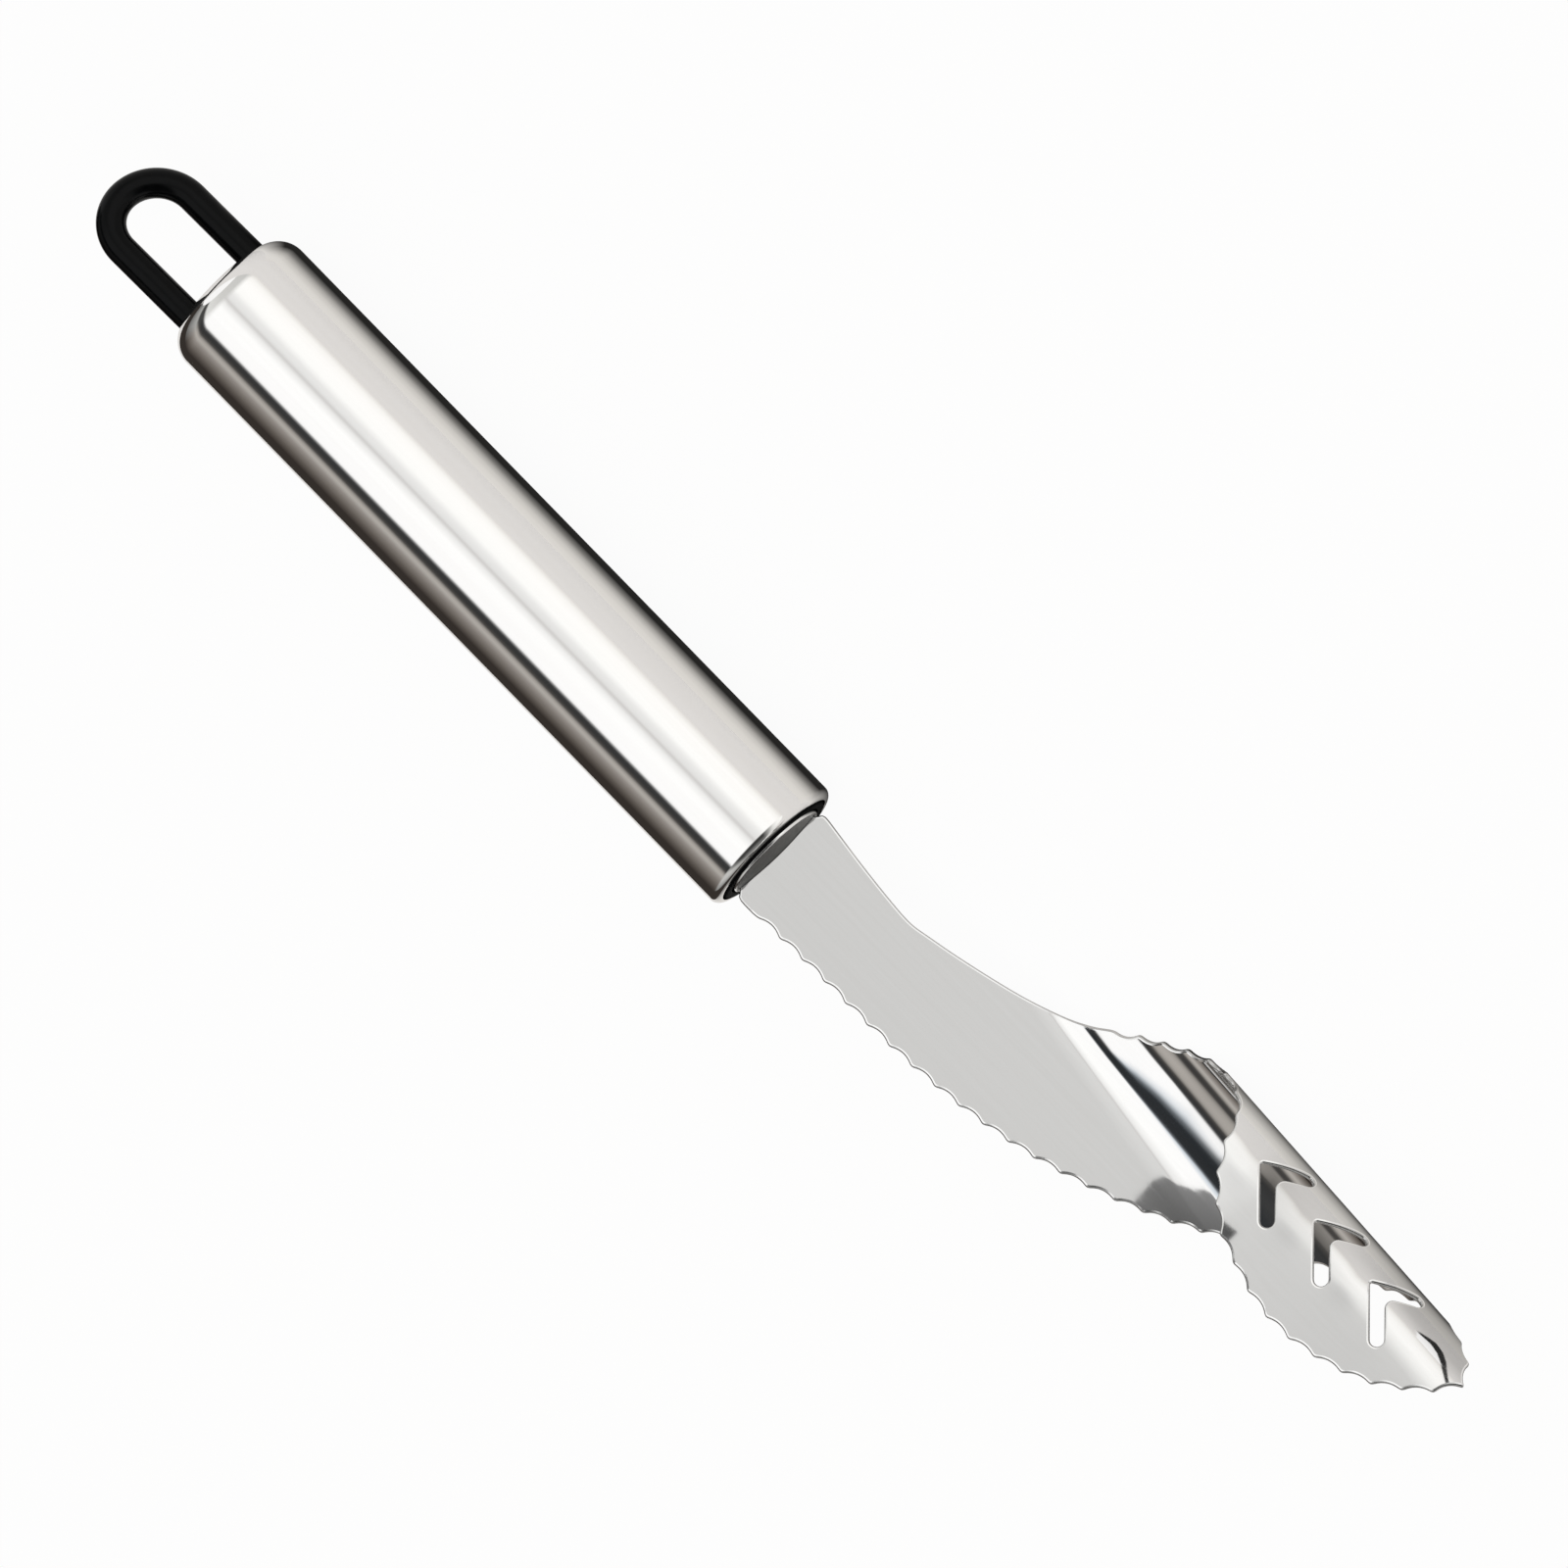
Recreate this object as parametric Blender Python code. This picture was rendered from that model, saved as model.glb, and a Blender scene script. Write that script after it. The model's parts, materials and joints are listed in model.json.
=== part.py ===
"""Chili pepper corer: a rolled and scalloped steel blade in a polished tube handle with a hanging loop.

The tool is drawn with X along the handle towards the tip, Y to the side the head leans to and Z out of the
blade's face. An empty then lays it down as it lies on a table, on the handle and the fold of the head.
"""
import math

import bmesh
import bpy
import numpy as np
from mathutils import Matrix, Vector

for old in list(bpy.data.objects):
    bpy.data.objects.remove(old, do_unlink=True)

MM = 0.001

# Handle tube, millimetres
TUBE_RADIUS = 9.5
TUBE_WALL = 0.8
TUBE_BACK = -94.0
TUBE_FRONT = 0.45
SHOULDER = 3.6
RIM = 1.15

# Hanging loop
BAR_RADIUS = 1.83
LEG_SPACING = 10.5
LOOP_TOP = -111.8
LOOP_LEAN = math.radians(0.9)
LOOP_SIDE = -0.3
LOOP_SKEW = 0.1
LOOP_TURN = math.radians(-12)
LEG_END = -82.0

# Front plug and the disc let into its face
PLUG_RADIUS = 8.05
PLUG_FACE = 0.95
PLUG_END = -22.0
DISC_RADIUS = 7.0
DISC_FACE = 1.0
SEAT = -0.3

# Blade blank, flat
SHEET = 0.7
TANG_WIDTH = 12.0
TANG_END = -20.0
BLADE_START = 1.32
SCALLOP = 0.58
ARC_STEPS = 4

# Roll of the head: fold lines fan out from an apex in the blade's plane
APEX = (-75.0, 26.0)
BEND_START = (56.0, 6.75)
BENDS = ((0.0, 4.1, 28.0, 4), (4.1, 13.8, 17.0, 4), (13.8, 24.4, 135.0, 15))

GAP = 0.3

parts = bpy.data.collections.new("chili pepper corer")
cutters = bpy.data.collections.new("cutters")
bpy.context.scene.collection.children.link(parts)
bpy.context.scene.collection.children.link(cutters)


def material(name, colour, roughness, metallic):
    """A Principled surface with the given base colour."""
    m = bpy.data.materials.new(name)
    m.use_nodes = True
    shader = m.node_tree.nodes["Principled BSDF"]
    shader.inputs["Base Color"].default_value = (*colour, 1.0)
    shader.inputs["Roughness"].default_value = roughness
    shader.inputs["Metallic"].default_value = metallic
    return m


blade_steel = material("blade steel", (0.62, 0.61, 0.60), 0.18, 1.0)
tube_steel = material("polished tube steel", (0.66, 0.64, 0.62), 0.08, 1.0)
disc_steel = material("satin disc steel", (0.45, 0.45, 0.44), 0.35, 1.0)
black_plastic = material("black plastic", (0.012, 0.012, 0.013), 0.38, 0.0)
core_plastic = material("core plastic", (0.03, 0.03, 0.03), 0.55, 0.0)


def add(name, mesh, surface, into=parts):
    """Links a mesh as a named object with one material."""
    obj = bpy.data.objects.new(name, mesh)
    mesh.materials.append(surface)
    into.objects.link(obj)
    return obj


def turned(name, profile, surface, steps=48, into=parts):
    """A solid of revolution about X from (x, radius) points; a closed ring when no point lies on the axis."""
    bm = bmesh.new()
    verts = [bm.verts.new((x * MM, r * MM, 0.0)) for x, r in profile]
    for i in range(len(verts) - 1):
        bm.edges.new((verts[i], verts[i + 1]))
    if profile[0][1] > 0:
        bm.edges.new((verts[-1], verts[0]))
    bmesh.ops.spin(bm, geom=bm.verts[:] + bm.edges[:], cent=(0, 0, 0), axis=(1, 0, 0),
                   angle=2 * math.pi, steps=steps, use_merge=True, use_duplicate=False)
    bmesh.ops.remove_doubles(bm, verts=bm.verts, dist=1e-7)
    bmesh.ops.recalc_face_normals(bm, faces=bm.faces)
    mesh = bpy.data.meshes.new(name)
    bm.to_mesh(mesh)
    bm.free()
    return add(name, mesh, surface, into)


def arc(cx, cr, radius, start, end, count):
    """Points (x, radius) on a circular fillet, angles in degrees from the X axis towards the radius."""
    return [(cx + radius * math.cos(a), cr + radius * math.sin(a))
            for a in np.radians(np.linspace(start, end, count))]


def cut(target, cutter):
    """Subtracts a hidden cutter from a target with an exact boolean."""
    cutter.hide_render = True
    cutter.display_type = "WIRE"
    boolean = target.modifiers.new("cut " + cutter.name, "BOOLEAN")
    boolean.operation = "DIFFERENCE"
    boolean.solver = "EXACT"
    boolean.object = cutter


def block(name, low, high, into=cutters, surface=None):
    """A box between two corners in millimetres."""
    bm = bmesh.new()
    bmesh.ops.create_cube(bm, size=1.0)
    low, high = Vector(low) * MM, Vector(high) * MM
    for v in bm.verts:
        v.co = Vector((low[k] + (v.co[k] + 0.5) * (high[k] - low[k]) for k in range(3)))
    mesh = bpy.data.meshes.new(name)
    bm.to_mesh(mesh)
    bm.free()
    return add(name, mesh, surface or core_plastic, into)


def spline(points, step=0.25):
    """A Catmull-Rom curve through the points, as a fine polyline."""
    p = np.array(points, float)
    p = np.vstack([2 * p[0] - p[1], p, 2 * p[-1] - p[-2]])
    out = []
    for i in range(1, len(p) - 2):
        count = max(2, int(np.hypot(*(p[i + 1] - p[i])) / step))
        t = np.linspace(0, 1, count, endpoint=False)[:, None]
        a, b, c, d = p[i - 1:i + 3]
        out.append(0.5 * (2 * b + (c - a) * t + (2 * a - 5 * b + 4 * c - d) * t ** 2
                          + (3 * b - a - 3 * c + d) * t ** 3))
    return np.vstack(out + [p[-2:-1]])


def scalloped(points, pitch, depth, steps):
    """Tooth points at an even pitch along a smooth line, joined by hollow arcs that cut in to its left."""
    line = spline(points)
    run = np.concatenate([[0], np.cumsum(np.hypot(*np.diff(line, axis=0).T))])
    count = round(run[-1] / pitch)
    at = np.linspace(0, run[-1], count + 1)
    tips = np.stack([np.interp(at, run, line[:, k]) for k in (0, 1)], axis=1)
    out = [tips[0]]
    for a, b in zip(tips[:-1], tips[1:]):
        chord = b - a
        inward = np.array([-chord[1], chord[0]]) / np.hypot(*chord)
        for t in np.linspace(0, 1, steps + 1)[1:]:
            out.append(a + chord * t + inward * depth * 4 * t * (1 - t))
    return out


def chevron(x, y, up, down, width, half_angle):
    """A V slot, apex towards the handle, with rounded arm ends; runs round the outline once."""
    h, w = math.radians(half_angle), width / 2
    corner = np.array((x + w, y))
    outline = []
    arms = ((-h, up), (h, down))
    ends = [corner + length * np.array((math.cos(a), math.sin(a))) for a, length in arms]
    for a in np.linspace(h + math.pi / 2, 3 * math.pi / 2 - h, 5):
        outline.append(corner + w * np.array((math.cos(a), math.sin(a))))
    for a in np.linspace(-h - math.pi / 2, -h + math.pi / 2, 6):
        outline.append(ends[0] + w * np.array((math.cos(a), math.sin(a))))
    outline.append(corner + np.array((w / math.sin(h), 0.0)))
    for a in np.linspace(h - math.pi / 2, h + math.pi / 2, 6):
        outline.append(ends[1] + w * np.array((math.cos(a), math.sin(a))))
    return outline


# Tooth points of the scalloped runs with their pitch: the lower edge up to the tip, the front flap's edge
# from the tip, and the edge that climbs the roll back to the shank
TOOTH_RUNS = (
    (3.62, [(4.9, -7.1), (14.0, -6.8), (24.0, -6.7), (34.3, -6.05), (45.0, -4.45), (55.6, -1.5),
            (65.7, 2.65), (74.5, 7.7), (82.6, 12.7), (91.6, 18.0), (99.0, 22.3), (104.3, 25.6),
            (107.4, 27.8), (108.7, 30.0)]),
    (3.84, [(108.7, 30.0), (107.0, 33.1), (104.2, 35.8), (101.0, 38.2), (97.5, 39.9), (93.8, 41.1),
            (88.0, 42.2), (82.5, 41.8), (78.9, 40.9), (75.0, 39.8), (71.6, 37.6), (68.7, 34.9),
            (66.6, 32.0)]),
    (3.5, [(66.6, 32.0), (64.9, 28.7), (61.4, 25.6), (56.1, 22.4), (50.5, 18.8), (47.4, 16.6), (44.7, 14.5)]),
)
UPPER_LINE = [(44.7, 14.5), (42.9, 13.0), (40.4, 11.4), (37.0, 10.0), (32.6, 8.6), (25.6, 6.9), (20.5, 5.9),
              (17.6, 5.5)]
half_tang = TANG_WIDTH / 2
ROOT_LINE = [(10.3, 6.1), (1.9, 7.15), (BLADE_START, 7.2), (BLADE_START, half_tang), (TANG_END, half_tang),
             (TANG_END, -half_tang), (BLADE_START, -half_tang), (BLADE_START, -7.1)]

blank = []
for pitch, run in TOOTH_RUNS:
    blank += scalloped(run, pitch, SCALLOP, ARC_STEPS)[1 if blank else 0:]
blank += [tuple(p) for p in spline(UPPER_LINE, 2.6)[1:]] + ROOT_LINE
slots = [chevron(x, y, 4.8, 6.05, 1.75, 41.0) for x, y in ((71.9, 30.4), (81.6, 30.25), (91.6, 30.1))]


def sheet_mesh(outlines, thickness):
    """The flat blank as a filled 2D curve with holes, given its thickness and welded."""
    curve = bpy.data.curves.new("blank", "CURVE")
    curve.dimensions = "2D"
    curve.fill_mode = "BOTH"
    curve.extrude = thickness / 2 * MM
    for outline in outlines:
        s = curve.splines.new("POLY")
        s.points.add(len(outline) - 1)
        for point, (x, y) in zip(s.points, outline):
            point.co = (x * MM, y * MM, 0.0, 1.0)
        s.use_cyclic_u = True
    holder = bpy.data.objects.new("blank", curve)
    bpy.context.scene.collection.objects.link(holder)
    bpy.context.view_layer.update()
    mesh = bpy.data.meshes.new_from_object(holder.evaluated_get(bpy.context.evaluated_depsgraph_get()))
    bpy.data.objects.remove(holder, do_unlink=True)
    bpy.data.curves.remove(curve)
    return mesh


def roll(mesh):
    """Folds the flat blank line by line, the way it is pressed round a tapered former.

    Every fold line passes through APEX. Material beyond a line turns about that line by its share of the
    turn, from the outermost line inwards; points on the line itself turn by half.
    """
    apex = Vector((*APEX, 0.0)) * MM
    reach = math.dist(APEX, BEND_START)
    first = math.atan2(BEND_START[1] - APEX[1], BEND_START[0] - APEX[0])
    lines = []
    for start, end, turn, steps in BENDS:
        for i in range(steps):
            along = start + (i + 0.5) * (end - start) / steps
            lines.append((first + along / reach, math.radians(turn / steps)))
    bm = bmesh.new()
    bm.from_mesh(mesh)
    bmesh.ops.remove_doubles(bm, verts=bm.verts, dist=1e-6)
    for angle, _ in lines:
        bmesh.ops.bisect_plane(bm, geom=bm.verts[:] + bm.edges[:] + bm.faces[:], dist=2e-6, plane_co=apex,
                               plane_no=(-math.sin(angle), math.cos(angle), 0.0))
    bmesh.ops.triangulate(bm, faces=bm.faces)
    bearing = {v: math.atan2(v.co.y - apex.y, v.co.x - apex.x) for v in bm.verts}
    for angle, turn in reversed(lines):
        axis = Vector((math.cos(angle), math.sin(angle), 0.0))
        for share, chosen in ((1.0, [v for v in bm.verts if bearing[v] > angle + 3e-5]),
                              (0.5, [v for v in bm.verts if abs(bearing[v] - angle) <= 3e-5])):
            bmesh.ops.rotate(bm, cent=apex, matrix=Matrix.Rotation(turn * share, 3, axis), verts=chosen)
    bmesh.ops.recalc_face_normals(bm, faces=bm.faces)
    bm.to_mesh(mesh)
    bm.free()


blade_mesh = sheet_mesh([blank] + slots, SHEET)
roll(blade_mesh)
blade = add("blade", blade_mesh, blade_steel)

# Handle tube: a cup with a rounded back shoulder and a rounded front rim, pierced for the loop's two legs
inner = TUBE_RADIUS - TUBE_WALL
turn_in = TUBE_RADIUS - SHOULDER
profile = [(TUBE_BACK, 0.0)] + arc(TUBE_BACK + SHOULDER, turn_in, SHOULDER, 180, 90, 7)
profile += arc(TUBE_FRONT - RIM, TUBE_RADIUS - RIM, RIM, 90, 0, 6) + [(TUBE_FRONT - 0.15, inner)]
profile += arc(TUBE_BACK + SHOULDER, turn_in, SHOULDER - TUBE_WALL, 90, 180, 6)
profile += [(TUBE_BACK + TUBE_WALL, 0.0)]
handle_tube = turned("handle_tube", profile, tube_steel)

# Front plug: black, a little proud of the rim, with a seat for the disc and a blind slot for the tang
fillet = 0.3
plug_profile = [(PLUG_END, 0.0), (PLUG_END, PLUG_RADIUS)]
plug_profile += arc(PLUG_FACE - fillet, PLUG_RADIUS - fillet, fillet, 90, 0, 4)
plug_profile += [(PLUG_FACE, DISC_RADIUS + GAP), (SEAT, DISC_RADIUS + GAP), (SEAT, 0.0)]
front_plug = turned("front_plug", plug_profile, black_plastic)
slot_half = SHEET / 2 + GAP
slot_side = half_tang + GAP
cut(front_plug, block("tang pocket", (TANG_END - GAP, -slot_side, -slot_half), (3, slot_side, slot_half)))

# Front disc: a thin domed steel disc in the plug's seat, slotted for the tang
disc_profile = [(DISC_FACE, 0.0), (DISC_FACE - 0.02, 3.5), (DISC_FACE - 0.07, 6.0), (DISC_FACE - 0.15, 6.75),
                (DISC_FACE - 0.35, DISC_RADIUS), (SEAT + GAP, DISC_RADIUS), (SEAT + GAP, 0.0)]
front_disc = turned("front_disc", disc_profile, disc_steel)
cut(front_disc, block("disc slot", (-2, -slot_side, -slot_half), (3, slot_side, slot_half)))

# Loop anchor: a plug behind the closed end that the loop's legs are set in
loop_anchor = turned("loop_anchor", [(-79.0, 0.0), (-79.0, inner - GAP), (-89.5, inner - GAP), (-91.8, 6.6),
                                     (-92.6, 5.4), (-92.6, 0.0)], black_plastic)
pivot = Vector((TUBE_BACK, 0, 0)) * MM
loop_frame = (Matrix.Rotation(LOOP_TURN, 4, "X") @ Matrix.Translation((0, LOOP_SIDE * MM, 0))
              @ Matrix.Translation(pivot) @ Matrix.Rotation(LOOP_LEAN, 4, "Z") @ Matrix.Translation(-pivot))
for side, word in ((1, "upper"), (-1, "lower")):
    reach = BAR_RADIUS + GAP
    hole_profile = [(-120, 0.0), (-120, reach), (LEG_END + GAP, reach), (LEG_END + GAP, 0.0)]
    hole = turned("leg hole " + word, hole_profile, black_plastic, 24, cutters)
    hole.matrix_world = loop_frame @ Matrix.Translation((0, side * LEG_SPACING / 2 * MM, 0))
    cut(loop_anchor, hole)
    cut(handle_tube, hole)


def bar_loop(name, surface):
    """A round bar swept along two straight legs and a half circle that sits a little askew."""
    half = LEG_SPACING / 2
    centre = LOOP_TOP + half + BAR_RADIUS
    path = [Vector((LEG_END, -half, 0))]
    path += [Vector((centre - half * math.sin(a) - LOOP_SKEW * half * math.cos(a), -half * math.cos(a), 0))
             for a in np.linspace(0, math.pi, 19)]
    path += [Vector((LEG_END, half, 0))]
    bm = bmesh.new()
    rings = []
    for i, p in enumerate(path):
        along = (path[min(i + 1, len(path) - 1)] - path[max(i - 1, 0)]).normalized()
        across = Vector((-along.y, along.x, 0))
        ring = [p + BAR_RADIUS * (math.cos(a) * across + Vector((0, 0, math.sin(a))))
                for a in np.linspace(0, 2 * math.pi, 21)[:-1]]
        rings.append([bm.verts.new(v * MM) for v in ring])
    for a, b in zip(rings[:-1], rings[1:]):
        for k in range(len(a)):
            bm.faces.new((a[k], a[k - 1], b[k - 1], b[k]))
    bm.faces.new(rings[0])
    bm.faces.new(list(reversed(rings[-1])))
    bmesh.ops.recalc_face_normals(bm, faces=bm.faces)
    mesh = bpy.data.meshes.new(name)
    bm.to_mesh(mesh)
    bm.free()
    obj = add(name, mesh, surface)
    obj.matrix_world = loop_frame
    return obj


hanging_loop = bar_loop("hanging_loop", black_plastic)


def resting_roll():
    """The turn about the handle at which the head's fold comes level with the underside of the tube."""
    low, high = math.radians(5), math.radians(85)
    points = np.array([v.co for v in blade.data.vertices])
    for _ in range(60):
        middle = (low + high) / 2
        lowest = (-points[:, 1] * math.sin(middle) + points[:, 2] * math.cos(middle)).min()
        low, high = (middle, high) if lowest > -TUBE_RADIUS * MM else (low, middle)
    return (low + high) / 2


# Laid down and moved so that the middle of the underside is the origin
tool = bpy.data.objects.new("chili_pepper_corer", None)
parts.objects.link(tool)
tool.rotation_euler = (-resting_roll(), 0.0, 0.0)
bpy.context.view_layer.update()
for obj in list(parts.objects) + list(cutters.objects):
    if obj is not tool:
        placed = obj.matrix_world.copy()
        obj.parent = tool
        obj.matrix_parent_inverse = Matrix.Identity(4)
        obj.matrix_local = placed
bpy.context.view_layer.update()
outside = (blade, handle_tube, hanging_loop)
corners = np.array([obj.matrix_world @ v.co for obj in outside for v in obj.data.vertices])
low, high = corners.min(axis=0), corners.max(axis=0)
tool.location = (-(low[0] + high[0]) / 2, -(low[1] + high[1]) / 2, -low[2])
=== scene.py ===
# %% [markdown]
# # A chili pepper corer
# The tool is one strip of polished steel with a wavy edge, pierced with three V-shaped slots and rolled over at
# its end, held in a bright tube handle with a black hanging loop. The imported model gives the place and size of
# every piece. Here each piece is drawn again as a fine smooth surface, because polished steel shows every facet.

import json
import math

import bpy
import numpy as np
from mathutils import Matrix, Vector
from mathutils.geometry import delaunay_2d_cdt


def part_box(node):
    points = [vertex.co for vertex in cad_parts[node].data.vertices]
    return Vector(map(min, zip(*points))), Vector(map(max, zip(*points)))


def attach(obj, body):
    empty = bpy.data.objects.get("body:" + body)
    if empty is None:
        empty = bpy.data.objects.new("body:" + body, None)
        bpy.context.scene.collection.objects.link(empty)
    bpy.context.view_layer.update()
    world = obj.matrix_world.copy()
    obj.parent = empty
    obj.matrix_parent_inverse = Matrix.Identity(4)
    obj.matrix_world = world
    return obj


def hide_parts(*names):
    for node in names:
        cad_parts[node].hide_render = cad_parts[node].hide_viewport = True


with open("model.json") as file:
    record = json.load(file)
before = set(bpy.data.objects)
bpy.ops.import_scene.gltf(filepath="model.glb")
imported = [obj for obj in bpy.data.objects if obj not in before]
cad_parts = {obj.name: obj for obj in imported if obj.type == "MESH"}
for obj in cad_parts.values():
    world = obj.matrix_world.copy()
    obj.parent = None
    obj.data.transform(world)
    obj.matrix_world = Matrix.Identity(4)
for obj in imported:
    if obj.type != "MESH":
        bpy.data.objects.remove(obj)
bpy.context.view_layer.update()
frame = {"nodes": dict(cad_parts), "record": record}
print("packed nodes:", sorted(frame["nodes"]))

# %% [markdown]
# ## The tool's own axes
# It is easier to draw the tool as it is held, with X along the handle to the tip, Y to the side that the head
# leans to and Z out of the blade's face, in millimetres. On the table it is rolled about X until the fold of the
# head touches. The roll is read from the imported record, where the blade's back is a mount, and the place from the
# box of the handle.

# %% From the tool's axes to the table
back_axis = next(m["axis"] for m in frame["record"]["mounts"] if m["name"] == "blade_back")
SIN, COS = -back_axis[1], -back_axis[2]
LAY = np.array([[1.0, 0.0, 0.0], [0.0, COS, SIN], [0.0, -SIN, COS]])
TUBE_BACK = -94.0
low, high = (np.array(corner) * 1000 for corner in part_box("handle_tube"))
SHIFT = np.array([low[0] - TUBE_BACK, (low[1] + high[1]) / 2, (low[2] + high[2]) / 2])
print("rolled by", round(math.degrees(math.atan2(SIN, COS)), 2), "degrees, moved by", SHIFT.round(3), "mm")

# %% [markdown]
# ## One way to make every mesh
# Each shape below ends up as three arrays: points, faces and the true normal at each point. Blender can guess
# normals from the faces, but on a mirror the guess shows as ripples next to every rounded edge, so the normals
# that the formulas give are stored with the mesh, one for each corner of each face, which also keeps creases. Points
# that fall together are welded, and any face that looks against its normals is turned round.


# %% Mesh from arrays
WELD_STEPS = 10000


def halves(quads):
    """Each four-sided face as two triangles: all first halves, then all second halves."""
    return np.concatenate([quads[:, [0, 1, 2]], quads[:, [0, 2, 3]]])


def new_object(name, points, faces, finishes):
    """A mesh object in the scene, in metres."""
    mesh = bpy.data.meshes.new(name)
    mesh.from_pydata(points, [], faces, shade_flat=False)
    for finish in finishes:
        mesh.materials.append(finish)
    obj = bpy.data.objects.new(name, mesh)
    bpy.context.scene.collection.objects.link(obj)
    return obj


def piece(name, points, faces, normals, finishes, kinds=None, values=None):
    """Triangles through points (tool axes, mm): weld equal points, drop empty faces, turn faces to the normals.

    kinds gives the number of each face's finish, and values a number for each point, stored under its name.
    """
    faces = np.asarray(faces)
    kinds = np.zeros(len(faces), int) if kinds is None else np.asarray(kinds)
    if faces.shape[1] == 4:
        faces, kinds = halves(faces), np.concatenate([kinds, kinds])
    grid = (points * WELD_STEPS).round().astype(np.int64)
    _, first, same = np.unique(grid, axis=0, return_index=True, return_inverse=True)
    same = same.reshape(-1)
    normals = normals / np.linalg.norm(normals, axis=1, keepdims=True)
    a, b, c = same[faces].T
    whole = (a != b) & (b != c) & (c != a)
    faces, kinds = faces[whole], kinds[whole]
    a, b, c = (points[faces[:, k]] for k in range(3))
    turned = (np.cross(b - a, c - a) * normals[faces].sum(axis=1)).sum(axis=1) < 0
    faces[turned] = faces[turned][:, ::-1]
    obj = new_object(name, (points[first] @ LAY.T + SHIFT) / 1000, same[faces], finishes)
    mesh = obj.data
    mesh.polygons.foreach_set("material_index", kinds.astype(np.int32))
    mesh.update()
    mesh.normals_split_custom_set(normals[faces].reshape(-1, 3) @ LAY.T)
    for word, value in (values or {}).items():
        mesh.attributes.new(word, "FLOAT", "POINT").data.foreach_set("value", value[first].astype(np.float32))
    print(name, "has", len(first), "points and", len(faces), "triangles")
    return obj


def strips(rows, columns, around=False):
    """Quads of a grid of rows x columns point numbers, closed round the columns if asked."""
    number = np.arange(rows * columns).reshape(rows, columns)
    ahead = np.roll(number, -1, axis=1) if around else number[:, 1:]
    here = number if around else number[:, :-1]
    return np.stack([here[:-1], ahead[:-1], ahead[1:], here[1:]], axis=-1).reshape(-1, 4)


# %% [markdown]
# ## Finishes
# Seven finishes cover the tool: mirror steel on the tube, finely polished steel on the blade, bright ground steel
# on its bevels, darker sheared steel on the cut edge, satin steel on the small disc, with painted shade next to the
# slot, glossy black plastic on the loop and matt black plastic on the plug. Each reads Object coordinates, so that
# its fine marks stay put on the piece. Steel isn't one even mirror: drawing and polishing leave faint lines along the
# strip, which change the gloss a little more than the colour. Two attributes of the blade's mesh paint light and
# shade into its colour: one sets how bright the steel is painted across the blade, with a small change of gloss, and
# the other paints a darker, cooler stripe in the hollow of the first bend, a painted reflection.


# %% Helpers for finishes
NOISE_LOW, NOISE_HIGH = 0.3, 0.7


def node(tree, kind, out, inputs=(), **settings):
    """Makes a node with its settings, links each input to a socket or sets it to a constant, and returns an output."""
    new = tree.nodes.new("ShaderNode" + kind)
    for word, value in settings.items():
        setattr(new, word, value)
    for socket, value in dict(inputs).items():
        if isinstance(value, bpy.types.NodeSocket):
            tree.links.new(value, new.inputs[socket])
        else:
            new.inputs[socket].default_value = value
    return new.outputs[out]


def marks(tree, scale):
    """Noise on Object coordinates, squeezed by scale (per metre) on each axis, or by one number on all."""
    scale = scale if len(scale) == 3 else scale * 3
    squeezed = node(tree, "Mapping", "Vector", {"Vector": node(tree, "TexCoord", "Object"), "Scale": scale})
    return node(tree, "TexNoise", "Fac", {"Vector": squeezed, "Scale": 1.0, "Detail": 4.0})


def new_finish(name, colour, roughness, metallic, *scale):
    """A material with a Principled shader; returns the material, the shader's inputs and its marks."""
    finish = bpy.data.materials.new(name)
    finish.use_nodes = True
    inputs = finish.node_tree.nodes["Principled BSDF"].inputs
    inputs["Base Color"].default_value = (*colour, 1.0)
    inputs["Roughness"].default_value = roughness
    inputs["Metallic"].default_value = metallic
    return finish, inputs, marks(finish.node_tree, scale)


def ranged(value, low, high):
    """The usual range of the noise stretched to low..high."""
    ends = {"From Min": NOISE_LOW, "From Max": NOISE_HIGH, "To Min": low, "To Max": high}
    return node(value.id_data, "MapRange", "Result", {"Value": value, **ends})


def tinted(value, dark, light):
    """A colour between dark and light, by the noise."""
    ramp = node(value.id_data, "ValToRGB", "Color", {"Fac": value})
    for stop, at, colour in zip(ramp.node.color_ramp.elements, (NOISE_LOW, NOISE_HIGH), (dark, light)):
        stop.position, stop.color = at, (*colour, 1.0)
    return ramp


def link(value, socket):
    """Joins an output to an input; a socket's id_data is its node tree."""
    socket.id_data.links.new(value, socket)


def coat(inputs, colour, roughness):
    """Links a colour and a roughness to the shader's inputs."""
    link(colour, inputs["Base Color"])
    link(roughness, inputs["Roughness"])


def mixed(factor, a, b, how="MIX"):
    """Colour a turned into colour b, or multiplied by it, as far as factor says."""
    colours = {"Factor": factor, "A": a, "B": b}
    return node(factor.id_data, "Mix", "Result", colours, data_type="RGBA", blend_type=how)


def from_mesh(value, name):
    """The attribute of that name, for the tree that value is in."""
    return node(value.id_data, "Attribute", "Fac", attribute_name=name)


# %% The seven finishes
mirror_steel, inputs, drawn = new_finish("mirror_steel", (0.94, 0.93, 0.92), 0.06, 1.0, 14, 900, 900)
coat(inputs, tinted(drawn, (0.925, 0.915, 0.905), (0.95, 0.945, 0.94)), ranged(drawn, 0.045, 0.085))

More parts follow.
